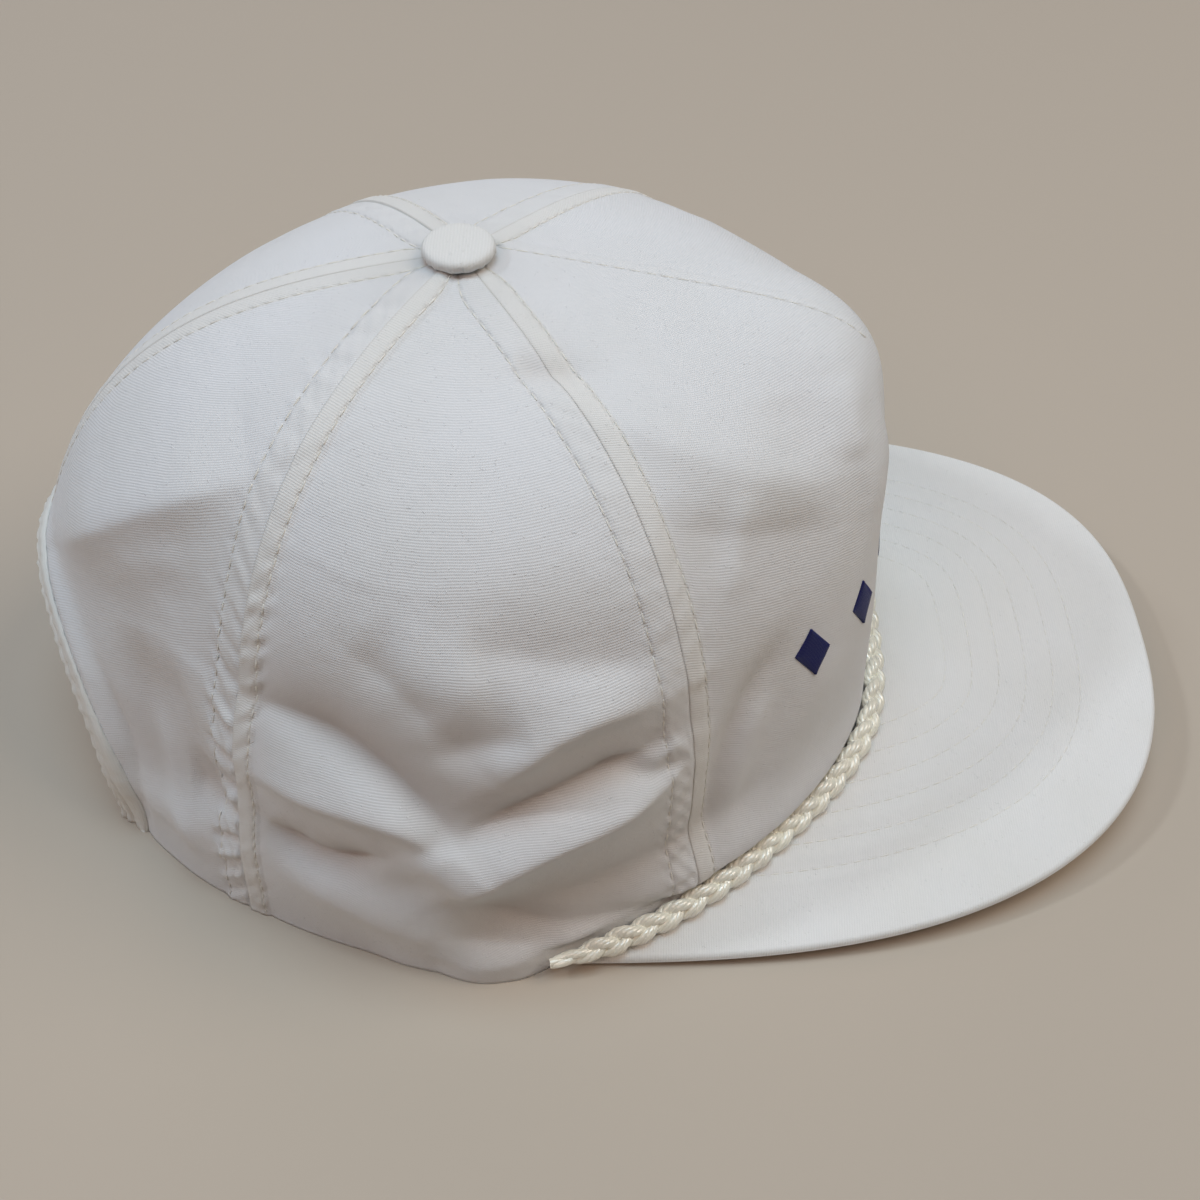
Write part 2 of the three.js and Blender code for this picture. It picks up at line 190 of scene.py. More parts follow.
# %% Creases of the wearer's right side, the front, the back and the wearer's left side
# Each row gives the push out (+) or in (-), how far it fades above and below its line, how round the
# fold is (1 is sharp and 2 is round), and the line itself as (angle, height) pairs. Sizes are in mm.
Crease = namedtuple("Crease", "push above below roundness line")
CREASES = [
    Crease(-6.0, 10.3, 3.4, 1.05, [(123, 68), (112, 67), (105, 64.5), (99, 60), (94, 53.5), (90, 47)]),
    Crease(3.2, 6.9, 3.4, 1.3, [(122, 50), (112, 51), (104, 52), (98, 51), (93, 46)]),
    Crease(-4.8, 6.0, 2.4, 1.05, [(120, 35), (116, 31), (112, 29.5), (107, 31), (101, 38)]),
    Crease(-6.3, 5.6, 3.9, 1.05, [(59, 64.5), (66, 61.5), (73, 58.5), (79, 55.5), (85, 51.5), (91, 47)]),
    Crease(3.5, 6.9, 3.1, 1.25, [(60, 76), (70, 77), (76, 74), (80, 70), (84, 64)]),
    Crease(5.2, 8.6, 5.2, 1.15, [(58, 56), (64, 53), (70, 50), (76, 47.5), (81, 44), (87, 38), (91, 31)]),
    Crease(-5.2, 10, 7.0, 1.1, [(56, 11), (66, 12), (74, 13), (80, 14.5), (85, 20), (90, 27)]),
    Crease(-1.8, 3, 2.0, 1.0, [(57, 58), (62, 56.5), (68, 60)]),
    Crease(1.5, 2.5, 2.5, 1.3, [(57, 62.5), (62, 61.5), (67, 64.5)]),
    Crease(-2.2, 6, 4, 1.4, [(93, 69), (86, 72.5), (79, 75)]),
    Crease(1.3, 9, 6, 1.6, [(101, 84), (92, 84), (84, 86)]),
    Crease(-1.6, 7, 4, 1.3, [(106, 87), (98, 83), (92, 76)]),
    Crease(-1.8, 9, 5, 1.5, [(88, 93), (78, 90), (68, 87), (60, 84)]),
    Crease(1.8, 8, 6, 1.6, [(119, 24), (108, 20), (98, 16), (90, 12)]),
    Crease(2.0, 7, 6, 1.4, [(95, 45), (91, 38), (88, 31)]),
    Crease(-1.4, 6, 5, 1.5, [(110, 29), (100, 30), (93, 33)]),
    Crease(3.8, 8, 3.5, 1.7, [(90, 7), (76, 9), (66, 12), (56, 15), (46, 17.5), (34, 20), (22, 21.5)]),
    Crease(-1.5, 6, 5, 1.6, [(84, 24), (74, 25), (64, 27), (54, 30), (44, 33)]),
    Crease(3.4, 12, 9, 1.7, [(70, 0), (78, 0), (86, 0), (95, 1)]),
    Crease(-1.3, 12, 9, 1.8, [(136, 2), (118, 0), (108, 0), (100, 1)]),
    Crease(-1.8, 5, 3.5, 1.2, [(92, 16), (84, 11), (76, 9)]),
    Crease(-2.0, 4, 3, 1.1, [(68, 122.4), (60, 122.3), (54, 122), (47, 121.5)]),
    Crease(1.5, 9, 5, 1.5, [(55, 119), (48, 116.5), (41, 112), (32, 104.5), (24, 98)]),
    Crease(1.3, 5, 5, 1.6, [(10, 110), (15, 103), (18, 97)]),
    Crease(-0.7, 8, 6, 1.8, [(19, 112), (24, 107), (29, 103)]),
    Crease(-1.8, 5, 13, 1.5, [(54, 106), (44, 100), (34, 94), (25, 89)]),
    Crease(0.8, 2.5, 4, 1.5, [(38, 105), (43, 98), (47, 89)]),
    Crease(1.8, 9, 12, 1.8, [(20, 92), (13, 90), (6, 90)]),
    Crease(-2.2, 5, 6, 1.3, [(38, 74), (45, 66), (49, 57), (52, 43), (54, 20)]),
    Crease(1.4, 3, 3, 1.6, [(43, 63), (48, 46), (51, 24)]),
    Crease(1.2, 6, 6, 1.8, [(30, 62), (36, 46), (42, 24)]),
    Crease(4.2, 14, 5.5, 1.3, [(166, 68), (158, 80), (150, 91), (142, 99), (132, 107)]),
    Crease(-1.6, 9, 12, 1.7, [(162, 56), (152, 70), (143, 80), (134, 87)]),
    Crease(0.9, 4, 5, 1.6, [(152, 76), (145, 84), (138, 88)]),
    Crease(-3.2, 8, 8, 1.7, [(147, 66), (143, 50), (141, 32), (140, 14)]),
    Crease(2.4, 3.5, 3.5, 1.7, [(176, 60), (164, 55), (155, 44), (150, 28), (148.5, 8)]),
    Crease(-1.5, 2.2, 2.2, 1.1, [(153, 48), (149, 38), (147, 29), (146, 20), (145.5, 12), (145, 3)]),
    Crease(1.6, 3, 5, 1.5, [(142, 50), (139, 36), (137, 22), (132, 8)]),
    Crease(-1.8, 5, 6, 1.5, [(140, 66), (134, 48), (131, 34)]),
    Crease(-3.0, 6, 5, 1.4, [(128, 40), (131, 34), (135, 33)]),
    Crease(-1.5, 12, 9, 1.8, [(168, 3), (155, 2), (144, 2)]),
    Crease(1.4, 7, 7, 1.5, [(150, 14), (140, 20), (128, 20)]),
    Crease(-1.6, 12, 10, 1.8, [(-36, 104), (-52, 100)]),
    Crease(-2.4, 8, 5, 1.4, [(-60, 66), (-80, 60), (-98, 66), (-118, 70)]),
    Crease(1.8, 6, 7, 1.7, [(-60, 54), (-78, 47), (-96, 52), (-118, 57)]),
    Crease(-2.2, 8, 6, 1.5, [(-118, 36), (-106, 31), (-94, 36), (-76, 28), (-62, 33)]),
    Crease(2.2, 11, 9, 1.8, [(-118, 3), (-100, 1), (-84, 1), (-64, 2)]),
    Crease(1.6, 10, 8, 1.7, [(-162, 72), (-148, 90), (-134, 104)]),
    Crease(-1.6, 8, 10, 1.6, [(-156, 62), (-142, 82)]),
    Crease(-1.5, 7, 7, 1.5, [(-150, 36), (-138, 24), (-128, 26)]),
    Crease(-1.6, 6, 6, 1.5, [(-40, 70), (-50, 44), (-54, 20)]),
    Crease(1.0, 6, 6, 1.8, [(-28, 58), (-36, 40), (-40, 24)]),
]
print(len(CREASES), "creases, the deepest", min(crease.push for crease in CREASES), "mm")

# %% A crease as a smooth line on the crown
CREASE_POINTS = 22
CREASE_EASINGS = 2
EASING = np.array([1, 2, 1]) / 4


def eased_line(corners, count, easings):
    """Corners joined in even steps, then eased by mixing every point with its two neighbours."""
    corners = np.array(corners, float)
    steps = np.linspace(0, len(corners) - 1, count)
    line = np.stack([np.interp(steps, np.arange(len(corners)), column) for column in corners.T])
    for _ in range(easings):
        line[:, 1:-1] = [np.convolve(row, EASING, "valid") for row in line]
    return line


def crease_path(crease):
    angle, height = eased_line(crease.line, CREASE_POINTS, CREASE_EASINGS)
    return smooth_crown(angle, climb_at_height(angle, height))


print("the first crease starts at", crease_path(CREASES[0])[0].round(), "mm from the crown's axis")

# %% Pushing the cloth
# The cloth is sewn down under SEWN_HEIGHT mm at the sides and SEWN_FRONT_RISE more at the front, and
# comes free between the two angles of SEWN_ENDS. A crease changes from its width below to its width
# above within CREASE_EDGE mm of its line, and swells up and dies away over CREASE_ENDS of its length.
SEWN_HEIGHT = 4.0
SEWN_FRONT_RISE = 10.0
SEWN_FADE = 3.5
SEWN_ENDS = (75, 84)
CREASE_TIP = 0.7
CREASE_EDGE = 2.0
CREASE_ENDS = (-0.15, 0.3)
CREASE_REACH = 3
TINY = 1e-9


def free_cloth(angle, points):
    """From 0 where the cloth is sewn to the brim to 1 where it hangs free."""
    away = np.abs(angle)
    sewn_height = SEWN_HEIGHT + SEWN_FRONT_RISE * np.cos(np.radians(np.minimum(away, 90)))
    share = smooth_between(points[:, 2] - sewn_height, 0, SEWN_FADE)
    return np.maximum(share, smooth_between(away, *SEWN_ENDS))


def nearest_on_path(points, path):
    """For every point: the leg of the path that is nearest, the way to it, and how far along it is."""
    here = points[:, None, :]
    start = path[None, :-1]
    legs = path[None, 1:] - start
    share = np.clip(((here - start) * legs).sum(-1) / (legs**2).sum(-1), 0, 1)
    away = here - (start + share[..., None] * legs)
    best = np.linalg.norm(away, axis=-1).argmin(1)
    rows = np.arange(len(best))
    travel = (best + share[rows, best]) / (len(path) - 1)
    return legs[0, best], away[rows, best], travel


def crease_push(angle, points, normals):
    """How far every point of the cloth is pushed along its normal by all the creases."""
    push = np.zeros(len(points))
    for crease in CREASES:
        path = crease_path(crease)
        reach = CREASE_REACH * max(crease.above, crease.below)
        near = np.all((points > path.min(0) - reach) & (points < path.max(0) + reach), axis=1)
        if not near.any():
            continue
        leg, away, travel = nearest_on_path(points[near], path)
        upward = np.cross(leg, normals[near])
        upward *= np.sign(upward[:, 2:3] + TINY)
        over = (away * upward).sum(-1) / np.linalg.norm(upward, axis=-1)
        above = smooth_between(over, -CREASE_EDGE, CREASE_EDGE)
        width = crease.below + (crease.above - crease.below) * above
        ends = smooth_between(travel, *CREASE_ENDS) * smooth_between(1 - travel, *CREASE_ENDS)
        far = np.hypot(np.linalg.norm(away, axis=-1), CREASE_TIP) - CREASE_TIP
        push[near] += crease.push * ends * np.exp(-((far / width) ** crease.roundness))
    return push * free_cloth(angle, points)


spots = np.array([70.0, 105.0])
climbs = climb_at_height(spots, 60)
pushes = crease_push(spots, smooth_crown(spots, climbs), crown_normal(spots, climbs))
print("60 mm up, the cloth is pushed by", pushes.round(1), "mm at", spots, "degrees")

# %% [markdown]
# ## Seams
# Each seam of the crown is sewn, opened flat and topstitched on both sides, so it shows a groove with
# a slightly raised band and a row of stitches on either side. The band on the front side is an
# undyed tape, and looks creamier. Thread tension puckers the cloth beside the stitches, most of all at
# the two rear seams. The relief of a seam depends mainly on two numbers, the distance across it and the
# way along it, so one table of seams and a few short functions are enough.

# %% Table of seams, in millimetres and degrees
# A seam's side is 1 on the wearer's right, -1 on the left and 0 at the back. Its step is how much
# higher the tape on its front side stands.
Seam = namedtuple("Seam", "angle side front_band back_band front_pucker back_pucker groove step")
SEAMS = [
    Seam(FRONT_SEAM, 1, 4.2, 5.9, 0.16, 0.42, 0.14, 0.08),
    Seam(REAR_SEAM, 1, 4.2, 6.1, 0.40, 1.15, 0.12, 0.38),
    Seam(REAR_SEAM, -1, 4.2, 6.1, 0.30, 0.8, 0.12, 0.38),
    Seam(FRONT_SEAM, -1, 4.2, 5.9, 0.16, 0.40, 0.14, 0.08),
    Seam(BACK, 0, 4.3, 4.3, 0.14, 0.14, 0.14, 0.0),
]
LADDER = np.linspace(0, 1, 300)


def axis_radius(points):
    return np.hypot(points[..., 0], points[..., 1])


def travelled(points):
    """How far each point of a line lies from its start, along the line."""
    steps = np.linalg.norm(np.diff(points, axis=0), axis=-1)
    return np.concatenate([[0], steps.cumsum()])


def meridian_length(angle):
    return travelled(smooth_crown(angle, LADDER))


for seam in SEAMS:
    length = round(meridian_length(seam.angle)[-1])
    print("a seam at", seam.angle * (seam.side or 1), "degrees is", length, "mm long")

# %% Puckers and bands beside a seam
# All sizes are in millimetres. A band is full from the second radius of BAND_MEETING outwards, and the
# stitches beside it lie in a dent. Puckers start just off the seam, fade out past the stitches, and
# calm down by CALM_SHARE between the two CALM_HEIGHTS, where the crown turns over into its top.
BAND_HEIGHT = 0.34
BAND_EDGE = 1.3
BAND_MEETING = (-4, 14)
GROOVE_WIDTH = 0.5
DENT_DEPTH = 0.30
DENT_WIDTH = 0.7
PUCKER_START = 1.2
PUCKER_INSIDE = 0.5
PUCKER_OUTSIDE = 4.0
CALM_HEIGHTS = (84, 108)
CALM_SHARE = 0.80
TAPE_FADE = 0.6
BACK_TAPE_CREAM = 0.25
SEED_STEP = 1.9


def ripple(along, across, seed):
    """Puckers with an uneven rhythm, which run aslant away from the seam."""
    slant = along + 0.9 * across * np.sin(along / 31 + seed)
    beat = np.sin(slant * FULL_TURN / 7.3 + 2.3 * np.sin(slant / 19 + seed) + seed)
    quick = np.sin(slant * FULL_TURN / 3.9 + 1.5 * np.sin(slant / 9 + 2 * seed))
    cross = np.sin((along - 1.6 * across) * FULL_TURN / 5.6 + 3 * seed)
    strength = 0.62 + 0.38 * np.sin(along / 17 + 3 * seed)
    return strength * (0.62 * beat + 0.22 * quick + 0.26 * cross)


def seam_band(toward_front, radius, seam):
    """Width of the band on one side of a seam. Bands narrow near the button, where they all meet."""
    return np.where(toward_front, seam.front_band, seam.back_band) * smooth_between(radius, *BAND_MEETING)


def seam_bump(seam, number, across, along, radius, height):
    """Relief beside one seam, the distance from its row of stitches, and how creamy the tape is."""
    toward_front = across > 0
    away = np.abs(across)
    band = seam_band(toward_front, radius, seam)
    line = away - band
    bump = (BAND_HEIGHT + seam.step * toward_front) * (1 - smooth_between(away, band, band + BAND_EDGE))
    bump = bump - seam.groove * np.exp(-((away / GROOVE_WIDTH) ** 2))
    bump = bump - DENT_DEPTH * np.exp(-((line / DENT_WIDTH) ** 2))
    spread = smooth_between(away, 0, PUCKER_START)
    spread = spread * (1 - smooth_between(away, band - PUCKER_INSIDE, band + PUCKER_OUTSIDE))
    calm = 1 - CALM_SHARE * smooth_between(height, *CALM_HEIGHTS)
    pucker = np.where(toward_front, seam.front_pucker, seam.back_pucker)
    bump = bump + pucker * calm * spread * ripple(along, away, number * SEED_STEP + toward_front)
    tape = 1 - smooth_between(away, band, band + TAPE_FADE)
    return bump, line, tape * np.where(toward_front, 1.0, BACK_TAPE_CREAM)


# %% The front dart, a fold sewn down from the button to the peak
# Widths and heights are in millimetres; DART_FOOT, DART_START and their fades are climbs.
DART_BAND = 1.3
DART_EDGE = 1.5
DART_HEIGHT = 0.22
DART_DENT = 0.22
DART_GROOVE = 0.12
DART_GROOVE_WIDTH = 0.6
DART_REACH = 12
DART_FRONT_ONLY = 80
DART_TOP_OFFSET = -5.5
DART_FOOT_OFFSET = 0.5
DART_FOOT = 0.50
DART_START = 0.93
DART_FOOT_FADE = 0.05
DART_START_FADE = 0.04
DART_CREAM = 0.12


def dart_offset(climb):
    """How far to the side of the middle the dart lies, in mm: it is sewn a little askew."""
    return np.interp(climb, [DART_FOOT, DART_START], [DART_FOOT_OFFSET, DART_TOP_OFFSET])


def dart_bump(angle, climb, radius):
    """Relief of the dart, the distance from its stitches, where they are, and how creamy it is."""
    across = np.radians(angle) * radius - dart_offset(climb)
    share = smooth_between(climb, DART_FOOT, DART_FOOT + DART_FOOT_FADE)
    share = share * (1 - smooth_between(climb, DART_START, DART_START + DART_START_FADE))
    in_front = np.abs(angle) < DART_FRONT_ONLY
    inside = (across > -DART_EDGE) & in_front
    near = (np.abs(across) < DART_REACH) & in_front
    line = across - DART_BAND
    fold = DART_HEIGHT * (1 - smooth_between(across, DART_BAND, DART_BAND + DART_EDGE)) * inside
    fold = fold - DART_GROOVE * np.exp(-((across / DART_GROOVE_WIDTH) ** 2))
    fold = fold - DART_DENT * np.exp(-((line / DENT_WIDTH) ** 2)) * inside
    cream = np.where(near & inside & (across < DART_BAND), DART_CREAM * share, 0)
    return np.where(near, fold * share, 0), line, near & inside & (share > 0.5), cream


print("the dart lies", DART_TOP_OFFSET, "mm aside at its top and", DART_FOOT_OFFSET, "mm at its foot")

# %% The finished outer face of the cloth
SEAM_REACH = 14
NO_SEAM = 9.0
# Painted shade for the folds: a crease that pushes the cloth in this many mm or more gets the full
# darkening.
FULL_FOLD_SHADE_PUSH = 5.0
READINGS = ("seam_gap", "seam_travel", "cream", "groove", "hollow")


def seam_relief(angle, climb, points):
    """Height that seams add to the cloth, and the first four readings of its finish."""
    radius = axis_radius(points)
    relief = np.zeros(angle.shape)
    travel = np.zeros(angle.shape)
    cream = np.zeros(angle.shape)
    gap = np.full(angle.shape, NO_SEAM)
    groove = np.full(angle.shape, NO_SEAM)
    for number, seam in enumerate(SEAMS):
        across = np.radians(seam.angle - np.abs(angle)) * radius
        same_side = (seam.side == 0) | (np.sign(angle) == seam.side)
        near = same_side & (np.abs(across) < SEAM_REACH)
        if not near.any():
            continue
        along = np.interp(climb[near], LADDER, meridian_length(seam.angle))
        bump, line, tape = seam_bump(seam, number, across[near], along, radius[near], points[near][:, 2])
        relief[near] += bump
        closer = np.abs(line) < gap[near]
        gap[near] = np.where(closer, np.abs(line), gap[near])
        travel[near] = np.where(closer, along, travel[near])
        cream[near] = np.maximum(cream[near], tape)
        groove[near] = np.minimum(groove[near], np.abs(across[near]))
    bump, line, sewn, tape = dart_bump(angle, climb, radius)
    closer = sewn & (np.abs(line) < gap)
    gap = np.where(closer, np.abs(line), gap)
    travel = np.where(closer, np.interp(climb, LADDER, meridian_length(0)), travel)
    return relief + bump, (gap, travel, np.maximum(cream, tape), groove)


def cloth_surface(angle, climb):
    """Points of the finished outer cloth, the same without seams, their normals, and all readings."""
    angle = np.asarray(angle, float).ravel()
    climb = np.asarray(climb, float).ravel()
    points = smooth_crown(angle, climb)
    normals = crown_normal(angle, climb)
    relief, readings = seam_relief(angle, climb, points)
    push = crease_push(angle, points, normals)
    finished = points + normals * (push + relief)[:, None]
    # Painted shade in the folds: how far a crease pushes the cloth in, as a share from 0 to 1.
    hollow = np.clip(-push / FULL_FOLD_SHADE_PUSH, 0, 1)
    return finished, points + normals * push[:, None], normals, (*readings, hollow)


print(len(SEAMS), "seams and one dart give the cloth", len(READINGS), "readings for its finish")

# %% [markdown]
# ## Panels
# Five panels of twill make the crown: one wide front, two sides and two rears. Each is a sheet with
# an outer face, an inner face and four edges, so it is lofted as a closed ring of points for every
# column. Columns stand closer together near the seams, where the relief is finest. Every panel keeps
# a map in millimetres for its weave, and the five readings that its finish uses.


# %% Meshes from rings of points
def lofted_mesh(name, rings, uv=None, readings=None):
    """A closed mesh through rings of points in millimetres, ends covered, about the crown's axis."""
    count, size = rings.shape[:2]
    index = np.arange(count * size).reshape(count, size)
    after = np.roll(index, -1, axis=1)
    walls = np.stack([index[:-1], after[:-1], after[1:], index[1:]], -1).reshape(-1, 4)
    half = np.arange(size // 2 - 1)
    first = np.stack([index[0, half + 1], index[0, half], index[0, -1 - half], index[0, -2 - half]], -1)
    last = np.stack([index[-1, half], index[-1, half + 1], index[-1, -2 - half], index[-1, -1 - half]], -1)
    faces = np.concatenate([walls, first, last])
    mesh = bpy.data.meshes.new(name)
    points = rings.reshape(-1, 3) + [0, CROWN_Y, 0]
    mesh.from_pydata(points * MM, [], faces.tolist())
    if uv is not None:
        layer = mesh.uv_layers.new(name="weave")
        corner = np.empty(len(mesh.loops), int)
        mesh.loops.foreach_get("vertex_index", corner)
        layer.data.foreach_set("uv", (uv.reshape(-1, 2)[corner] * MM).ravel())
    for label, values in (readings or {}).items():
        mesh.attributes.new(label, "FLOAT", "POINT").data.foreach_set("value", values.ravel())
    mesh.shade_smooth()
    piece = bpy.data.objects.new(name, mesh)
    bpy.context.scene.collection.objects.link(piece)
    return piece


def crowded(count, centres, amount=0.6):
    """Shares from 0 to 1 that stand closer together at both ends, and at the middle if asked."""
    share = np.linspace(0, 1, count + 1)
    return share - amount * np.sin(FULL_TURN * centres * share) / (FULL_TURN * centres)


def there_and_back(values):
    """Values for whole rings, out along one face and back along the other."""
    return np.concatenate([values, values[:, ::-1]], axis=1)


print("eight shares, crowded at both ends:", crowded(8, 1).round(2))

# %% The joint with the brim, and the panels' edges
# Pieces lie GAP mm apart and panels SEAM_GAP mm. The panels stop short of the crown's middle, where the
# button covers a hole, and the tape stands BINDING_RADIUS mm proud of the opening's edge.
GAP = 0.3
SEAM_GAP = 0.04
PANEL_TUCK = 1.5
BINDING_RADIUS = 1.6
MM_PER_DEGREE = 1.6
ARCH_EDGE_ANGLE = ARCH_HALF_ANGLE + (BINDING_RADIUS + GAP) / MM_PER_DEGREE
ARCH_EDGE_HEIGHT = ARCH_HEIGHT + BINDING_RADIUS + GAP
TOP_HOLE = 0.045
OPEN_SHARE = 0.7
TOP_EDGE = 1 - TOP_HOLE * OPEN_SHARE


def wall_point(angle, height, depth):
    """A point of the smooth crown at a height, moved level into the cap by a depth."""
    angle, height, depth = np.broadcast_arrays(np.asarray(angle, float), height, depth)
    climb = climb_at_height(angle, height)
    normal = crown_normal(angle, climb)
    normal[..., 2] = 0
    point = smooth_crown(angle, climb) - unit(normal) * depth[..., None]
    point[..., 2] = height
    return point


def brim_top(x, y):
    return BRIM_END_HEIGHT + BRIM_RISE * (BRIM_ROOT_Y - y) + BRIM_CAMBER * (1 - (x / BRIM_HALF_WIDTH) ** 2)


def joint_height(angle):
    """Height at which the crown meets the brim's top: each of four guesses corrects the last."""
    height = np.full(np.shape(angle), BRIM_END_HEIGHT)
    for _ in range(4):
        point = wall_point(angle, height, 0)
        height = brim_top(point[..., 0], point[..., 1])
    return height


def lower_edge(angle):
    """Height of the panels' lower edge: tucked behind the brim, at the floor, or round the arch."""
    away = np.abs(angle)
    joint = joint_height(np.minimum(away, BRIM_END_ANGLE))
    tucked = np.maximum(0, joint - BRIM_THICKNESS - PANEL_TUCK)
    share = np.minimum(1, (BACK - away) / ARCH_EDGE_ANGLE)
    arched = ARCH_EDGE_HEIGHT * np.sqrt(1 - share**2)
    return np.where(away < BRIM_END_ANGLE, tucked, arched)


print("the joint of crown and brim is", round(float(joint_height(0)), 1), "mm high at the front")

# %% Table of panels: from and to by angle, columns, where they crowd, and how the weave leans
Panel = namedtuple("Panel", "name start end columns crowds lean")
PANELS = [
    Panel("front_panel", -FRONT_SEAM, FRONT_SEAM, 190, 2, 32),
    Panel("side_panel_right", FRONT_SEAM, REAR_SEAM, 150, 1, 2),
    Panel("side_panel_left", -REAR_SEAM, -FRONT_SEAM, 120, 1, -2),
    Panel("rear_panel_right", REAR_SEAM, BACK, 130, 1, -35),
    Panel("rear_panel_left", -BACK, -REAR_SEAM, 120, 1, 35),
]
PANEL_ROWS = 180
LEVEL_HEIGHT = 84.0
LEVEL_SHARE = 0.5
PLAIN_SHARE = 0.42


def panel_columns(panel):
    """Angles of a panel's columns. On a rear panel they crowd at the steep foot of the arch."""
    if BACK not in (-panel.start, panel.end):
        return panel.start + (panel.end - panel.start) * crowded(panel.columns, panel.crowds)
    flat = int(panel.columns * PLAIN_SHARE)
    arch = panel.columns - flat
    plain = REAR_SEAM + (BACK - ARCH_EDGE_ANGLE - REAR_SEAM) * crowded(flat, centres=0.5, amount=0.3)[:-1]
    steep = BACK - ARCH_EDGE_ANGLE * np.cos(np.linspace(0, math.pi / 2, arch + 1))
    angles = np.concatenate([plain, steep])
    return angles if panel.end == BACK else -angles[::-1]


def panel_grid(panel):
    """Angle and climb of every point. Rows run from the lower edge to level ones and on to the top."""
    angles = panel_columns(panel)
    shares = (angles - panel.start) / (panel.end - panel.start)
    edge = climb_at_height(angles, lower_edge(angles))
    level = climb_at_height(angles, LEVEL_HEIGHT)
    rise = np.linspace(0, 1, PANEL_ROWS + 1)[None, :]
    low = edge[:, None] + (level - edge)[:, None] * rise / LEVEL_SHARE
    high = TOP_EDGE + (level - TOP_EDGE)[:, None] * (1 - rise) / (1 - LEVEL_SHARE)
    climb = np.where(rise < LEVEL_SHARE, low, high)
    grid = np.broadcast_to(angles[:, None], climb.shape)
    trim = np.degrees(SEAM_GAP / 2 / axis_radius(smooth_crown(grid, climb)))
    return panel.start + trim + (panel.end - panel.start - 2 * trim) * shares[:, None], climb


print("the front panel has", len(panel_columns(PANELS[0])), "columns and", PANEL_ROWS + 1, "rows")

# %% Five panels
MAP_RADIUS = 78


def panel_map(panel, grid, outer):
    """The panel laid out in millimetres for its weave, which leans as the panel was cut."""
    steps = np.linalg.norm(np.diff(outer, axis=1), axis=-1)
    along = np.concatenate([np.zeros((len(outer), 1)), steps], 1).cumsum(1)
    along = along - along[:, -1:]
    across = np.radians(grid - (panel.start + panel.end) / 2) * 0.5 * (axis_radius(outer) + MAP_RADIUS)
    lean = math.radians(panel.lean)
    turned_across = across * math.cos(lean) + along * math.sin(lean)
    return np.stack([turned_across, along * math.cos(lean) - across * math.sin(lean)], -1)


def build_panel(panel):
    grid, climb = panel_grid(panel)
    outer, plain, normals, readings = cloth_surface(grid, climb)
    inner = (plain - normals * CLOTH).reshape(*grid.shape, 3)
    outer = outer.reshape(*grid.shape, 3)
    outer[..., 2] = np.maximum(outer[..., 2], 0)
    inner[:, 0, 2] = outer[:, 0, 2]
    inner[..., 2] = np.maximum(inner[..., 2], 0)
    rings = np.concatenate([outer, inner[:, ::-1]], axis=1)
    kept = {label: there_and_back(values.reshape(grid.shape)) for label, values in zip(READINGS, readings)}
    return lofted_mesh(panel.name + "_cloth", rings, there_and_back(panel_map(panel, grid, outer)), kept)


panels = {panel.name: build_panel(panel) for panel in PANELS}
for name, piece in panels.items():
    print(name, len(piece.data.polygons), "faces")

# %% [markdown]
# ## Thread
# A row of topstitching is one short bar of thread after another, each pulled a little into the cloth.
# They are hundreds of equal things along a path, which is what Geometry Nodes are for: a tree turns a
# chain of edges into a curve, cuts it to the stitch pitch and sets a small bar at every cut, turned
# along the row and facing out of the cloth. The same tree sews the crown and the brim.


# %% Helpers for building node trees
def add_node(tree, kind, inputs=None, **settings):
    """A node with its settings made and its inputs given values or links."""
    node = tree.nodes.new(kind)
    for key, value in settings.items():
        setattr(node, key, value)
    for key, value in (inputs or {}).items():
        if isinstance(value, bpy.types.NodeSocket):
            tree.links.new(value, node.inputs[key])
        else:
            node.inputs[key].default_value = value
    return node


def maths(tree, operation, first, second=None, third=None):
    given = {k: v for k, v in enumerate((first, second, third)) if v is not None}
    return add_node(tree, "ShaderNodeMath", given, operation=operation).outputs[0]


def vectors(tree, operation, first, second=None):
    """A vector sum. SCALE takes a plain number as its second value."""
    given = {0: first}
    if second is not None:
        given[3 if operation == "SCALE" else 1] = second
    return add_node(tree, "ShaderNodeVectorMath", given, operation=operation).outputs[0]


def node_group(name, sizes):
    """A Geometry Nodes tree with one float input for each named size, and a material."""
    tree = bpy.data.node_groups.new(name, "GeometryNodeTree")
    tree.interface.new_socket("Geometry", in_out="INPUT", socket_type="NodeSocketGeometry")
    for size in sizes:
        tree.interface.new_socket(size, in_out="INPUT", socket_type="NodeSocketFloat")
    tree.interface.new_socket("Material", in_out="INPUT", socket_type="NodeSocketMaterial")
    tree.interface.new_socket("Geometry", in_out="OUTPUT", socket_type="NodeSocketGeometry")
    return tree, add_node(tree, "NodeGroupInput").outputs


def finish_tree(tree, geometry, material):
    """Ends a tree with real geometry, smooth faces and its material."""
    real = add_node(tree, "GeometryNodeRealizeInstances", {"Geometry": geometry})
    smooth = add_node(tree, "GeometryNodeSetShadeSmooth", {"Geometry": real.outputs[0]})
    inputs = {"Geometry": smooth.outputs[0], "Material": material}
    painted = add_node(tree, "GeometryNodeSetMaterial", inputs)
    add_node(tree, "NodeGroupOutput", {"Geometry": painted.outputs[0]})


def evenly_cut(tree, size, step):
    """The input edges as a curve cut into as many equal steps as fit, none under the given size."""
    curve = add_node(tree, "GeometryNodeMeshToCurve", {"Mesh": size["Geometry"]})
    inputs = {"Curve": curve.outputs[0], "Length": size[step]}
    return add_node(tree, "GeometryNodeResampleCurve", inputs, mode="LENGTH").outputs[0]


def swept(tree, curve, section):
    """A closed skin of the section carried along the curve."""
    inputs = {"Curve": curve, "Profile Curve": section, "Fill Caps": True}
    return add_node(tree, "GeometryNodeCurveToMesh", inputs).outputs[0]


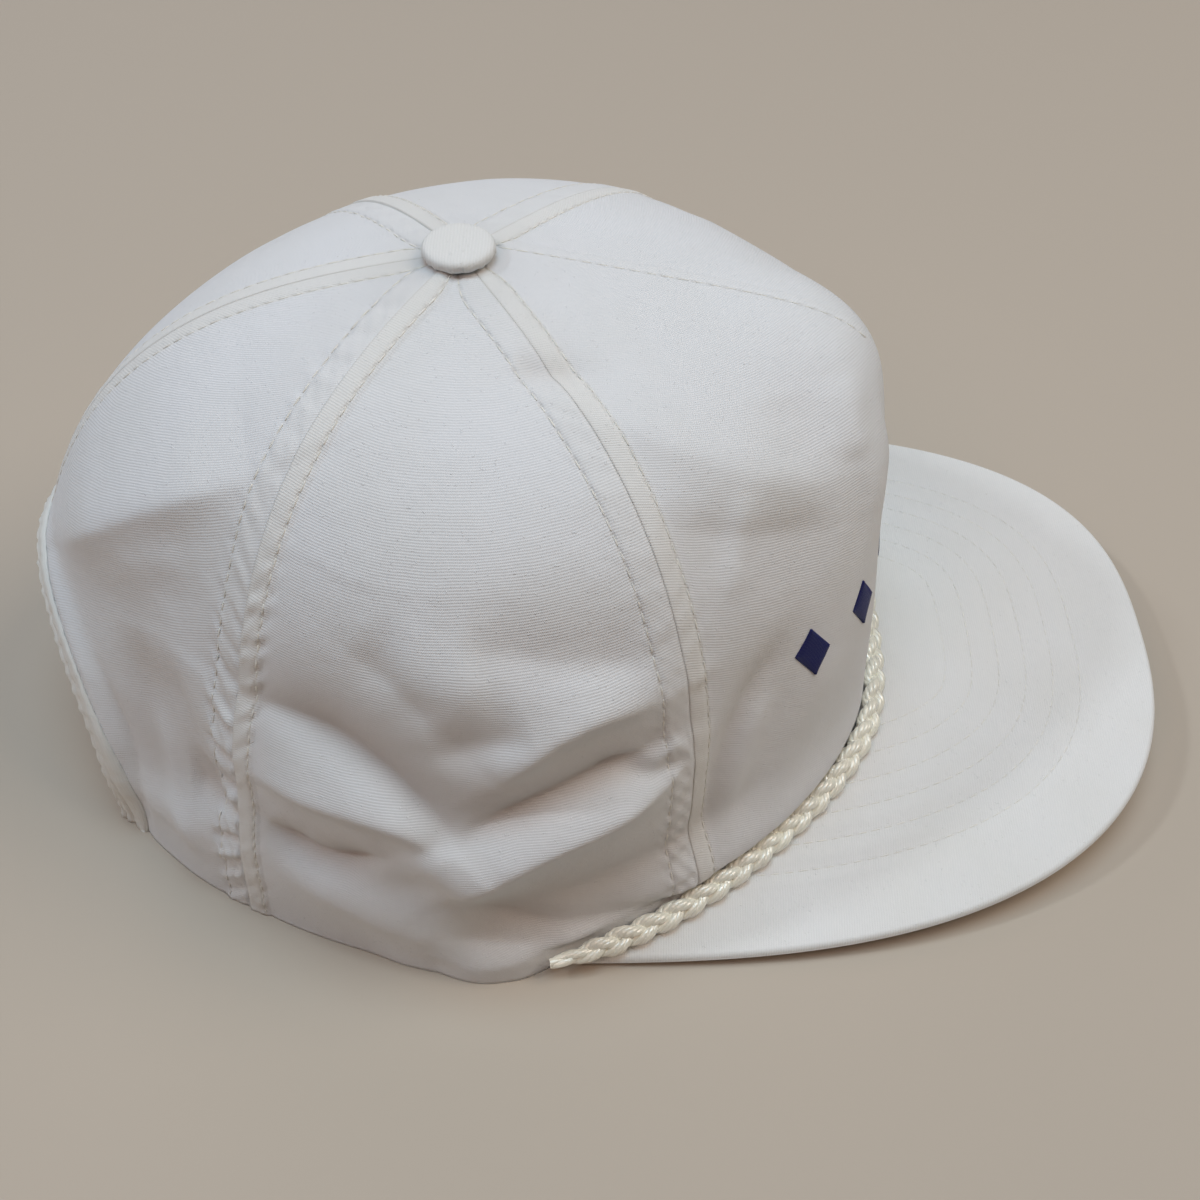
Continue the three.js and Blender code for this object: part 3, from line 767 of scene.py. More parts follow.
def named(tree, name, kind="FLOAT_VECTOR"):
    """What the points keep under a name."""
    return add_node(tree, "GeometryNodeInputNamedAttribute", {"Name": name}, data_type=kind).outputs[0]


# %% Running a tree along paths
def along_paths(name, paths, tree, values, material):
    """Runs a tree on paths, each given as its points in millimetres and the way that they face."""
    chains = bpy.data.meshes.new(name + "_path")
    points = np.concatenate([path for path, _ in paths]) + [0, CROWN_Y, 0]
    edges = []
    start = 0
    for path, _ in paths:
        edges += [(start + k, start + k + 1) for k in range(len(path) - 1)]
        start += len(path)
    chains.from_pydata(points * MM, edges, [])
    facing = np.concatenate([facing for _, facing in paths])
    chains.attributes.new("facing", "FLOAT_VECTOR", "POINT").data.foreach_set("vector", facing.ravel())
    holder = bpy.data.objects.new(name, chains)
    bpy.context.scene.collection.objects.link(holder)
    modifier = holder.modifiers.new(name, "NODES")
    modifier.node_group = tree
    for item in tree.interface.items_tree:
        if item.in_out == "INPUT" and item.name in values:
            modifier[item.identifier] = values[item.name]
        if item.in_out == "INPUT" and item.name == "Material":
            modifier[item.identifier] = material
    bpy.context.view_layer.update()
    ready = holder.evaluated_get(bpy.context.evaluated_depsgraph_get())
    plain = bpy.data.meshes.new_from_object(ready)
    holder.modifiers.clear()
    holder.data = plain
    plain.name = name
    bpy.data.meshes.remove(chains)
    return holder


# %% The stitch
# Inputs 2 and 3 are the shortest and the longest stitch, as shares of the usual one.
STITCH_UNEVENNESS = {2: 0.82, 3: 1.1, "Seed": 5}


def stitch_tree():
    """A bar of thread at every cut, along the row, facing out, and a little longer or shorter."""
    tree, size = node_group("stitch row", ["Pitch", "Length", "Thickness"])
    cuts = evenly_cut(tree, size, "Pitch")
    axes = {"Primary Axis": add_node(tree, "GeometryNodeInputTangent").outputs[0]}
    axes["Secondary Axis"] = named(tree, "facing")
    turn = add_node(tree, "FunctionNodeAxesToRotation", axes, primary_axis="X", secondary_axis="Z")
    bar = add_node(tree, "GeometryNodeMeshUVSphere", {"Segments": 6, "Rings": 4, "Radius": 0.5})
    inputs = {"Geometry": bar.outputs[0], "Rotation": (0, math.pi / 2, 0)}
    long_way = add_node(tree, "GeometryNodeTransform", inputs)
    inputs = {0: size["Length"], 1: size["Thickness"], 2: size["Thickness"]}
    shape = add_node(tree, "ShaderNodeCombineXYZ", inputs)
    uneven = add_node(tree, "FunctionNodeRandomValue", STITCH_UNEVENNESS, data_type="FLOAT")
    inputs = {"Points": cuts, "Instance": long_way.outputs[0], "Rotation": turn.outputs[0]}
    inputs["Scale"] = vectors(tree, "SCALE", shape.outputs[0], uneven.outputs[1])
    row = add_node(tree, "GeometryNodeInstanceOnPoints", inputs)
    finish_tree(tree, row.outputs[0], size["Material"])
    return tree


stitches = stitch_tree()
print("the stitch tree has", len(stitches.nodes), "nodes")

# %% [markdown]
# ## Finishes
# The cap is one colour, so its finishes differ by structure. The crown's twill has fine slanting
# ribs, the brim's cloth is the same but flatter, the tape is creamier, the rope is satin yarn and the
# strap is moulded. Ribs are drawn from each piece's own map, at their true size, and turned into bump,
# with painted shade between them. Dimples under the stitches come from the readings that the panels
# and the brim keep, and so does painted shade in the stitch holes, in the seam grooves and in the folds.


# %% Helpers for finishes
RIBS_PER_METRE = 1750
STITCH_PITCH = 3.2


def new_material(name, roughness, sheen=0.0, specular=0.35):
    material = bpy.data.materials.new(name)
    material.use_nodes = True
    shader = material.node_tree.nodes["Principled BSDF"]
    shader.inputs["Roughness"].default_value = roughness
    shader.inputs["Specular IOR Level"].default_value = specular
    shader.inputs["Sheen Weight"].default_value = sheen
    shader.inputs["Sheen Roughness"].default_value = 0.6
    return material, material.node_tree, shader


def reading(tree, name):
    return add_node(tree, "ShaderNodeAttribute", attribute_name=name).outputs["Fac"]


def stripes(tree, position, per_metre):
    """A soft wave of a coordinate, from 0 to 1."""
    turn = maths(tree, "MULTIPLY", position, per_metre * FULL_TURN)
    return maths(tree, "MULTIPLY_ADD", maths(tree, "SINE", turn), 0.5, 0.5)


def noise(tree, place, scale, detail=2.0, roughness=0.5):
    inputs = {"Vector": place, "Scale": scale, "Detail": detail, "Roughness": roughness}
    return add_node(tree, "ShaderNodeTexNoise", inputs).outputs["Fac"]


def mix(tree, share, first, second):
    """Two colours mixed. Inputs 6 and 7 are the ones that take colours."""
    inputs = {"Factor": share, 6: first, 7: second}
    return add_node(tree, "ShaderNodeMix", inputs, data_type="RGBA").outputs[2]


def mapped(tree, value, low, high, out_low=0.0, out_high=1.0):
    inputs = {0: value, 1: low, 2: high, 3: out_low, 4: out_high}
    return add_node(tree, "ShaderNodeMapRange", inputs).outputs[0]


def patches(tree, place, scale, detail):
    """Soft patches from 0 to 1, for slow changes of colour."""
    return mapped(tree, noise(tree, place, scale, detail), 0.3, 0.7)


def bumped(tree, shader, height, distance, strength=1.0):
    """Turns a height, in shares of a distance in millimetres, into a bump of the shader."""
    inputs = {"Strength": strength, "Distance": MM * distance, "Height": height}
    tree.links.new(add_node(tree, "ShaderNodeBump", inputs).outputs[0], shader.inputs["Normal"])


print("one rib of the twill is", round(1 / RIBS_PER_METRE / MM, 2), "mm wide")

# %% Twill
# Each pattern's scale is how many of its spots fit in a metre, and an edge is where a spot starts and
# where it is full. The shades say how strongly each mark is mixed into the cloth's colour. Heights and
# the two widths are in millimetres, and the drift of the ribs in metres.
DRIFT_SCALE, DRIFT = 55, 0.0016
YARN_SLANT, YARNS_PER_RIB = 0.7, 1.35
RIB_WEIGHT, YARN_WEIGHT = 0.65, 0.35
TINT_SCALE, TINT = 38, (0.965, 0.962, 0.945)
# Painted shade in the gaps between the weave's ribs.
RIB_GAP_SHADE, RIB_GAP_SHADOW_COLOUR = 0.12, (0.45, 0.43, 0.40, 1)
FLECK_SCALE, FLECK_EDGE = 700, (0.80, 0.83)
FLECK_SHADE, FLECK_COLOUR = 0.25, (0.40, 0.36, 0.30, 1)
PILL_SCALE, PILL_EDGE, PILL_HEIGHT = 1250, (0.70, 0.76), 0.07
WRINKLE_SCALE, WRINKLE_HEIGHT = 150, 0.30
CREAM_SHADE, CREAM_COLOUR = 0.5, (0.81, 0.79, 0.735, 1)
# Painted shade in the stitch holes, on top of their dimples.
HOLE_WIDTH, HOLE_SHADOW_COLOUR = 0.55, (0.50, 0.45, 0.36, 1)
# Painted shade along the middle of each seam's groove.
SHADE_WIDTH, GROOVE_SHADE, GROOVE_SHADOW_COLOUR = (0.05, 0.40), 0.22, (0.42, 0.36, 0.28, 1)
# Painted shade in the folds that the creases push in.
FOLD_SHADE_AMOUNT, FOLD_SHADE_COLOUR = 0.55, (0.50, 0.43, 0.38, 1)


def weave_of(tree, body, ribs):
    """Slanting ribs crossed by yarns, from 0 between them to 1 on them, on the piece's own map."""
    uv = add_node(tree, "ShaderNodeUVMap", uv_map="weave").outputs[0]
    split = add_node(tree, "ShaderNodeSeparateXYZ", {0: uv})
    drift = maths(tree, "MULTIPLY", noise(tree, body, DRIFT_SCALE), DRIFT)
    rib = stripes(tree, maths(tree, "ADD", split.outputs[1], drift), ribs)
    slant = maths(tree, "MULTIPLY_ADD", split.outputs[1], YARN_SLANT, split.outputs[0])
    yarn = stripes(tree, slant, ribs * YARNS_PER_RIB)
    return maths(tree, "MULTIPLY_ADD", yarn, YARN_WEIGHT, maths(tree, "MULTIPLY", rib, RIB_WEIGHT))


def marked_by_sewing(tree, base, height, holes):
    """Adds what the readings say: creamy tape, stitch holes, and painted shade in the holes, the seam
    grooves and the folds.
    """
    base = mix(tree, maths(tree, "MULTIPLY", reading(tree, "cream"), CREAM_SHADE), base, CREAM_COLOUR)
    beat = maths(tree, "MULTIPLY", reading(tree, "seam_travel"), FULL_TURN / STITCH_PITCH)
    beat = maths(tree, "MULTIPLY_ADD", maths(tree, "COSINE", beat), 0.4, 0.6)
    near = mapped(tree, reading(tree, "seam_gap"), 0.0, HOLE_WIDTH, 1.0, 0.0)
    dimple = maths(tree, "MULTIPLY", near, beat)
    # Painted shade in the stitch holes; the same dimple also sinks the bump below.
    base = mix(tree, maths(tree, "MULTIPLY", dimple, holes), base, HOLE_SHADOW_COLOUR)
    height = maths(tree, "MULTIPLY_ADD", dimple, -holes, height)
    # Painted shade in the seam groove, darkest at its middle.
    dark = mapped(tree, reading(tree, "groove"), *SHADE_WIDTH, GROOVE_SHADE, 0.0)
    base = mix(tree, dark, base, GROOVE_SHADOW_COLOUR)
    # Painted shade: the colour darkens where a crease pushes the cloth in.
    hollow = maths(tree, "MULTIPLY", reading(tree, "hollow"), FOLD_SHADE_AMOUNT)
    return mix(tree, hollow, base, FOLD_SHADE_COLOUR), height


def twill(name, ribs=RIBS_PER_METRE, depth=0.065, readings=True, colour=(0.80, 0.81, 0.83, 1), holes=0.22):
    """White twill. Ribs is how many to a metre, and depth the height of the bump in millimetres."""
    material, tree, shader = new_material(name, roughness=0.85, sheen=0.12, specular=0.3)
    body = add_node(tree, "ShaderNodeTexCoord").outputs["Object"]
    weave = weave_of(tree, body, ribs)
    tinted = tuple(c * t for c, t in zip(colour, TINT)) + (1,)
    base = mix(tree, patches(tree, body, TINT_SCALE, 3), colour, tinted)
    # Painted shade: the colour darkens between the ribs, where shade falls between them.
    between = maths(tree, "MULTIPLY", maths(tree, "SUBTRACT", 1.0, weave), RIB_GAP_SHADE)
    base = mix(tree, between, base, RIB_GAP_SHADOW_COLOUR)
    fleck = mapped(tree, noise(tree, body, FLECK_SCALE, 1), *FLECK_EDGE)
    base = mix(tree, maths(tree, "MULTIPLY", fleck, FLECK_SHADE), base, FLECK_COLOUR)
    pill = mapped(tree, noise(tree, body, PILL_SCALE, 1), *PILL_EDGE)
    wrinkle = maths(tree, "MULTIPLY", noise(tree, body, WRINKLE_SCALE, 4, 0.55), WRINKLE_HEIGHT)
    height = maths(tree, "MULTIPLY_ADD", weave, depth, wrinkle)
    height = maths(tree, "MULTIPLY_ADD", pill, PILL_HEIGHT, height)
    if readings:
        base, height = marked_by_sewing(tree, base, height, holes)
    tree.links.new(base, shader.inputs["Base Color"])
    bumped(tree, shader, height, 1.0)
    return material


crown_cloth = twill("crown twill")
for piece in panels.values():
    piece.data.materials.append(crown_cloth)
print("the crown's twill has", len(crown_cloth.node_tree.nodes), "nodes")

# %% Thread and yarn
COAT_ROUGHNESS = 0.10
COAT_IOR = 1.75
PALER = 1.04
DEEPER = 0.90


def yarn_material(name, colour, roughness, sheen, specular, per_metre, depth, coat=0.0):
    """Twisted fibre: fine specks of bump, so many to a metre, under slow patches of colour."""
    material, tree, shader = new_material(name, roughness, sheen, specular)
    shader.inputs["Coat Weight"].default_value = coat
    shader.inputs["Coat Roughness"].default_value = COAT_ROUGHNESS
    shader.inputs["Coat IOR"].default_value = COAT_IOR
    body = add_node(tree, "ShaderNodeTexCoord").outputs["Object"]
    shade = patches(tree, body, 90, 2)
    pale = tuple(min(1.0, c * PALER) for c in colour) + (1,)
    deep = tuple(c * DEEPER for c in colour) + (1,)
    tree.links.new(mix(tree, shade, pale, deep), shader.inputs["Base Color"])
    bumped(tree, shader, noise(tree, body, per_metre, 3, 0.6), depth, 0.8)
    return material


white_thread = yarn_material(
    "white thread", (0.82, 0.80, 0.74), roughness=0.55, sheen=0.1, specular=0.4, per_metre=2600, depth=0.10
)
satin_yarn = yarn_material(
    "satin rope yarn",
    (0.99, 0.95, 0.81),
    roughness=0.28,
    sheen=0.3,
    specular=1.0,
    per_metre=1700,
    depth=0.22,
    coat=1.0,
)
print("finishes:", ", ".join(material.name for material in bpy.data.materials))

# %% [markdown]
# ## Topstitching of the crown
# Rows run along both sides of each seam and along the front dart, on the finished cloth. They start a
# little above the rope or the floor and end under the button.

# %% Rows of stitches on the crown
ROPE_RADIUS = 2.7
ROW_POINTS = 150
ROW_END = 0.945
ABOVE_ROPE = 3
ABOVE_FLOOR = 1.5
DART_ROW_POINTS = 60
DART_ROW_FOOT = 0.03
STITCH_LIFT = 0.03


def cloth_row(angles, climbs):
    finished, _, normals, _ = cloth_surface(angles, climbs)
    return finished + normals * STITCH_LIFT, normals


def seam_rows():
    """Two rows for each seam and one for the dart, each as its points and the way they face."""
    rows = []
    for seam in SEAMS:
        side = seam.side or 1
        middle = seam.angle * side
        foot = float(lower_edge(np.array(middle)))
        foot += ROPE_RADIUS * 2 + ABOVE_ROPE if abs(middle) < BRIM_END_ANGLE else ABOVE_FLOOR
        start = climb_at_height(middle, foot)
        climb = start + (ROW_END - start) * np.linspace(0, 1, ROW_POINTS)
        radius = axis_radius(smooth_crown(middle, climb))
        for way, toward_front in ((1, True), (-1, False)):
            turn = np.degrees(seam_band(toward_front, radius, seam) / radius) * way
            rows.append(cloth_row((seam.angle - turn) * side, climb))
    climb = np.linspace(DART_FOOT + DART_ROW_FOOT, DART_START, DART_ROW_POINTS)
    radius = axis_radius(smooth_crown(0, climb))
    rows.append(cloth_row(np.degrees((dart_offset(climb) + DART_BAND) / radius), climb))
    return rows


stitch_sizes = {"Pitch": STITCH_PITCH * MM, "Length": 2.5 * MM, "Thickness": 0.38 * MM}
crown_stitches = along_paths("crown_stitching", seam_rows(), stitches, stitch_sizes, white_thread)
print("crown stitching:", len(crown_stitches.data.polygons), "faces")

# %% [markdown]
# ## Brim
# The brim is a stiff board wrapped in the same cloth and sewn through in rows that follow its outer
# edge. It is lofted from rings too: each runs out along the underside, round the edge and back along
# the top. The distance of every point from the edge is measured, because the rows of stitches, and
# the shallow channels that they pull, lie at equal steps of it.

# %% The brim's edge, and how far any place is from it
EDGE_POINTS = 700
CHUNK = 2000


def brim_outline(turn):
    across = (np.abs(np.sin(turn)) / BRIM_HALF_WIDTH) ** BRIM_OVAL_POWER
    along = (np.abs(np.cos(turn)) / BRIM_REACH) ** BRIM_OVAL_POWER
    reach = (across + along) ** (-1 / BRIM_OVAL_POWER)
    return np.stack([-reach * np.sin(turn), BRIM_ROOT_Y - reach * np.cos(turn)], -1)


def brim_root(angle, out):
    """Points in plan along the joint, moved out of the crown's wall by a distance."""
    return wall_point(angle, joint_height(angle), -out)[:, :2]


OUTLINE = brim_outline(np.radians(np.linspace(-90, 90, EDGE_POINTS)))


def edge_distance(places):
    """Distance in plan from the brim's edge, and how far round the edge the nearest point is."""
    start = OUTLINE[:-1]
    leg = OUTLINE[1:] - start
    length = np.linalg.norm(leg, axis=-1)
    begin = travelled(OUTLINE)[:-1]
    best = np.empty(len(places))
    travel = np.empty(len(places))
    # The places are taken a chunk at a time, so that the table of distances stays small.
    for first in range(0, len(places), CHUNK):
        chunk = slice(first, first + CHUNK)
        here = places[chunk, None]
        share = np.clip(((here - start) * leg).sum(-1) / length**2, 0, 1)
        gap = np.linalg.norm(here - start - share[..., None] * leg, axis=-1)
        nearest = gap.argmin(1)
        rows = np.arange(len(nearest))
        best[chunk] = gap[rows, nearest]
        travel[chunk] = begin[nearest] + share[rows, nearest] * length[nearest]
    return best, travel


print("the brim's edge is", round(float(travelled(OUTLINE)[-1])), "mm long")

# %% Brim
BRIM_COLUMNS = 250
BRIM_ROWS = 84
BRIM_EDGE_ROWS = 8
BRIM_STITCH_START = 18.0
BRIM_STITCH_STEP = 6.6
BRIM_STITCH_ROWS = 6
BRIM_CHANNEL = 0.14
BRIM_FLAT_EDGE = 18
LOWEST_BRIM = 0.02


def brim_height(places, distance):
    """Top of the finished brim: its camber, a slight unevenness and the sewn channels."""
    x, y = places[..., 0], places[..., 1]
    row = (distance - BRIM_STITCH_START) / BRIM_STITCH_STEP
    sewn = smooth_between(row, -0.7, -0.2)
    sewn = sewn * (1 - smooth_between(row, BRIM_STITCH_ROWS - 0.8, BRIM_STITCH_ROWS))
    channel = np.cos(row * FULL_TURN) * BRIM_CHANNEL * sewn
    wave = 0.25 * np.sin(x / 21 + 1.0) * np.sin(y / 27 + 0.4) + 0.1 * np.sin(x / 8.5 - y / 12)
    return brim_top(x, y) - channel + wave * smooth_between(distance, 0, BRIM_FLAT_EDGE)


def brim_grid():
    """How far in from the edge every point lies, and its place in plan on the way to the root."""
    share = np.linspace(-1, 1, BRIM_COLUMNS + 1)
    root = brim_root(share * BRIM_END_ANGLE, GAP)
    outer = brim_outline(np.radians(share * 90))
    reach = np.linalg.norm(root - outer, axis=-1)[:, None]
    rounding = BRIM_THICKNESS / 2 * (1 - np.cos(np.radians(np.linspace(0, 90, BRIM_EDGE_ROWS))))
    rounded = np.broadcast_to(rounding, (len(reach), BRIM_EDGE_ROWS))
    rise = np.linspace(0, 1, BRIM_ROWS)[1:]
    inward = np.concatenate([rounded, rounding[-1] + (reach - rounding[-1]) * rise], 1)
    inward = np.minimum(inward, reach)
    return inward, outer[:, None] + (root - outer)[:, None] * (inward / reach)[..., None]


def build_brim():
    inward, place = brim_grid()
    distance, travel = (part.reshape(inward.shape) for part in edge_distance(place.reshape(-1, 2)))
    half = BRIM_THICKNESS / 2
    round_off = half - half * np.sqrt(np.clip(1 - (1 - np.minimum(inward, half) / half) ** 2, 0, 1))
    height = brim_height(place, distance)
    top = np.concatenate([place, (height - round_off)[..., None]], -1)
    under = np.maximum(height - BRIM_THICKNESS + round_off, LOWEST_BRIM)
    bottom = np.concatenate([place, under[..., None]], -1)
    row = (distance - BRIM_STITCH_START) / BRIM_STITCH_STEP
    nearest = np.clip(np.round(row), 0, BRIM_STITCH_ROWS - 1)
    none = np.zeros(inward.shape)
    readings = (np.abs(row - nearest) * BRIM_STITCH_STEP, travel, none, none + NO_SEAM, none)
    kept = {label: there_and_back(values[:, ::-1]) for label, values in zip(READINGS, readings)}
    rings = np.concatenate([bottom[:, ::-1], top], axis=1)
    return lofted_mesh("brim_board", rings, there_and_back(place[:, ::-1]), kept)


brim = build_brim()
brim_cloth = twill("brim cloth", depth=0.04, colour=(0.80, 0.80, 0.79, 1), holes=0.10)
brim.data.materials.append(brim_cloth)
print("brim:", len(brim.data.polygons), "faces")

# %% Rows of stitches on the brim
BRIM_ROW_TURN = 89
BRIM_ROW_POINTS = 260
BRIM_HALVINGS = 14
BRIM_STITCH_LIFT = 0.02
INSIDE_ROOT = 0.999


def brim_facing(place):
    """Which way the brim's top faces, from its height a millimetre to each side."""
    x, y = place[:, 0], place[:, 1]
    slope_x = (brim_top(x + 1, y) - brim_top(x - 1, y)) / 2
    slope_y = (brim_top(x, y + 1) - brim_top(x, y - 1)) / 2
    return unit(np.stack([-slope_x, -slope_y, np.ones(len(place))], -1))


def brim_row(wanted):
    """A row at one distance from the edge, found by halving the way from the edge to the root."""
    turn = np.radians(np.linspace(-BRIM_ROW_TURN, BRIM_ROW_TURN, BRIM_ROW_POINTS))
    outer = brim_outline(turn)
    root = brim_root(turn / math.radians(90) * BRIM_END_ANGLE, 2 * ROPE_RADIUS)
    low = np.zeros(len(turn))
    high = np.ones(len(turn))
    for _ in range(BRIM_HALVINGS):
        middle = (low + high) / 2
        near = edge_distance(outer + (root - outer) * middle[:, None])[0] < wanted
        low = np.where(near, middle, low)
        high = np.where(near, high, middle)
    place = (outer + (root - outer) * low[:, None])[high < INSIDE_ROOT]
    height = brim_height(place, np.full(len(place), wanted))
    return np.concatenate([place, height[:, None] + BRIM_STITCH_LIFT], -1), brim_facing(place)


brim_rows = [brim_row(BRIM_STITCH_START + n * BRIM_STITCH_STEP) for n in range(BRIM_STITCH_ROWS)]
brim_sizes = {"Pitch": STITCH_PITCH * MM, "Length": 2.4 * MM, "Thickness": 0.26 * MM}
brim_stitches = along_paths("brim_stitching", brim_rows, stitches, brim_sizes, white_thread)
print("brim stitching:", len(brim_stitches.data.polygons), "faces")

# %% [markdown]
# ## Rope
# The rope along the joint is a plait of three satin strands, each of five yarns with a twist of
# their own. In a flat plait a strand swings from side to side once a period and dives under its
# neighbours twice, so its place is one sine across and one of double speed through the thickness.
# The tree below does just that, first for the strands and then for the yarns round each strand.

# %% Sizes and small helpers of the plait
ROPE_SIZES = {
    "Step": 0.85 * MM,
    "Strands": 3,
    "Period": 19.5 * MM,
    "Swing": 1.4 * MM,
    "Dive": 0.95 * MM,
    "Yarns": 5,
    "Yarn Ring": 0.84 * MM,
    "Yarn Radius": 0.80 * MM,
    "Twist": 9 * MM,
    "Taper": 14 * MM,
    "Swell": 0.42,
}
TIP_SHARE = 0.25
YARN_SIDES = 6


def copied(tree, curve, amount):
    """Copies of a curve, and each copy's share of them from 0 towards 1."""
    inputs = {"Geometry": curve, "Amount": amount}
    copies = add_node(tree, "GeometryNodeDuplicateElements", inputs, domain="SPLINE").outputs
    return copies[0], maths(tree, "DIVIDE", copies[1], amount)


def turned(tree, period, share):
    """An angle that makes a full turn in every period of the way, and starts at a copy's share."""
    way = named(tree, "way", "FLOAT")
    turns = maths(tree, "ADD", maths(tree, "DIVIDE", way, period), share)
    return maths(tree, "MULTIPLY", turns, FULL_TURN)


def sideways_of(tree):
    """The direction of the curve, and the one across it that lies flat on the facing."""
    tangent = add_node(tree, "GeometryNodeInputTangent").outputs[0]
    across = vectors(tree, "CROSS_PRODUCT", tangent, named(tree, "facing"))
    return tangent, vectors(tree, "NORMALIZE", across)


def moved(tree, curve, offset):
    return add_node(tree, "GeometryNodeSetPosition", {"Geometry": curve, "Offset": offset}).outputs[0]


print("a strand makes a period in", round(ROPE_SIZES["Period"] / MM, 1), "mm")


# %% Plait
def plait_axis(tree, size):
    """The rope's axis, which keeps its way along, its thinness at the tips and its side."""
    axis = evenly_cut(tree, size, "Step")
    way = add_node(tree, "GeometryNodeSplineParameter").outputs["Length"]
    whole = add_node(tree, "GeometryNodeSplineLength").outputs[0]
    to_end = maths(tree, "MINIMUM", way, maths(tree, "SUBTRACT", whole, way))
    thin = mapped(tree, to_end, 0.0, size["Taper"], TIP_SHARE, 1.0)
    kept = (("way", way, "FLOAT"), ("thin", thin, "FLOAT"), ("side", sideways_of(tree)[1], "FLOAT_VECTOR"))
    for label, value, kind in kept:
        inputs = {"Geometry": axis, "Name": label, "Value": value}
        store = add_node(tree, "GeometryNodeStoreNamedAttribute", inputs, data_type=kind, domain="POINT")
        axis = store.outputs[0]
    return axis


def swung_strands(tree, size, axis):
    """Strands that swing across and dive twice in every period, and how thick they are."""
    strands, share = copied(tree, axis, size["Strands"])
    phase = turned(tree, size["Period"], share)
    thin = named(tree, "thin", "FLOAT")
    sine = maths(tree, "SINE", phase)
    # A strand swells where it turns at the edge, and is drawn thin where it crosses the middle.
    edge = maths(tree, "POWER", maths(tree, "ABSOLUTE", sine), 2.0)
    swell = maths(tree, "MULTIPLY_ADD", edge, size["Swell"], maths(tree, "SUBTRACT", 1.0, size["Swell"]))
    swing = maths(tree, "MULTIPLY", maths(tree, "MULTIPLY", sine, size["Swing"]), thin)
    double = maths(tree, "SINE", maths(tree, "MULTIPLY", phase, 2.0))
    dive = maths(tree, "MULTIPLY", maths(tree, "MULTIPLY", double, size["Dive"]), thin)
    across = vectors(tree, "SCALE", named(tree, "side"), swing)
    offset = vectors(tree, "ADD", across, vectors(tree, "SCALE", named(tree, "facing"), dive))
    return moved(tree, strands, offset), maths(tree, "MULTIPLY", swell, thin)


def twisted_yarns(tree, size, strands, full):
    """Yarns that wind round the middle of each strand, and thin out where it does."""
    yarns, share = copied(tree, strands, size["Yarns"])
    roll = turned(tree, size["Twist"], share)
    tangent, out = sideways_of(tree)
    up = vectors(tree, "CROSS_PRODUCT", out, tangent)
    ring = maths(tree, "MULTIPLY", size["Yarn Ring"], full)
    out = vectors(tree, "SCALE", out, maths(tree, "MULTIPLY", maths(tree, "COSINE", roll), ring))
    up = vectors(tree, "SCALE", up, maths(tree, "MULTIPLY", maths(tree, "SINE", roll), ring))
    inputs = {"Curve": moved(tree, yarns, vectors(tree, "ADD", out, up)), "Radius": full}
    return add_node(tree, "GeometryNodeSetCurveRadius", inputs).outputs[0]


def plait_tree():
    tree, size = node_group("plaited rope", list(ROPE_SIZES))
    strands, full = swung_strands(tree, size, plait_axis(tree, size))
    yarns = twisted_yarns(tree, size, strands, full)
    inputs = {"Resolution": YARN_SIDES, "Radius": size["Yarn Radius"]}
    section = add_node(tree, "GeometryNodeCurvePrimitiveCircle", inputs).outputs[0]
    finish_tree(tree, swept(tree, yarns, section), size["Material"])
    return tree


plait = plait_tree()
print("the plait's tree has", len(plait.nodes), "nodes")

# %% Rope
ROPE_CLEAR = 0.5
ROPE_POINTS = 240


def rope_path():
    """The rope's axis along the joint. It faces up and out, half and half."""
    angle = np.linspace(-ROPE_END_ANGLE, ROPE_END_ANGLE, ROPE_POINTS)
    height = joint_height(angle) + ROPE_RADIUS + GAP
    centre = wall_point(angle, height, -(ROPE_RADIUS + ROPE_CLEAR))
    outward = unit(centre - wall_point(angle, height, 0))
    return centre, unit(outward + [0, 0, 1])


rope = along_paths("rope_plait", [rope_path()], plait, ROPE_SIZES, satin_yarn)
rope_length = round(float(travelled(rope_path()[0])[-1]), 1)
print("rope:", len(rope.data.polygons), "faces,", rope_length, "mm along its axis")

# %% [markdown]
# ## Rear opening
# The arch at the back is bound with a folded tape: it runs up the outside of the panels, round their
# cut edge and down the inside. Its section is therefore a thin hairpin, carried round the arch. The
# strap below it is one moulded band with rounded edges and a row of press pegs.

# %% Binding tape
TAPE_COLUMNS = 170
TAPE_FOLD = 1.5
TAPE_OUTSIDE = [
    (5.0, -0.2), (4.8, -0.7), (4.2, -1.25), (3.2, -1.5), (2.2, -1.55), (1.5, -1.4), (1.2, -1.25),
    (0.9, -1.7), (0.4, -2.2), (-0.2, -2.4), (-0.8, -2.3), (-1.05, -2.1), (-1.4, -2.6), (-2.0, -2.95),
    (-2.6, -2.8), (-3.0, -2.2), (-3.0, -1.4),
]
TAPE_INSIDE = [
    (-2.7, -0.5), (-2.1, 0.4), (-1.3, 1.2), (-0.2, 1.75), (1.2, 1.95), (2.8, 1.95), (4.2, 1.85), (4.7, 1.7),
]
TAPE_BACK = [(4.7, 1.5), (3.0, 1.5), (1.4, 1.5), (1.4, 0.1), (3.2, 0.1), (5.0, 0.1)]
TAPE_STEPS = 44
PUCKERED_DEPTH = 1.2
PUCKERED_WAY = 0.1
CALM_WAY_SHARE = 0.35
LOWEST_TAPE = 0.05


def wrapped(angle):
    """The same angle between -180 and 180 degrees, as the crown's profile is read."""
    return np.where(angle > BACK, angle - 2 * BACK, angle)


def tape_section():
    """The folded tape as (way into the panel, depth under its outer face) in millimetres."""
    return np.concatenate([eased_line(TAPE_OUTSIDE + TAPE_INSIDE, TAPE_STEPS, 0).T, TAPE_BACK])


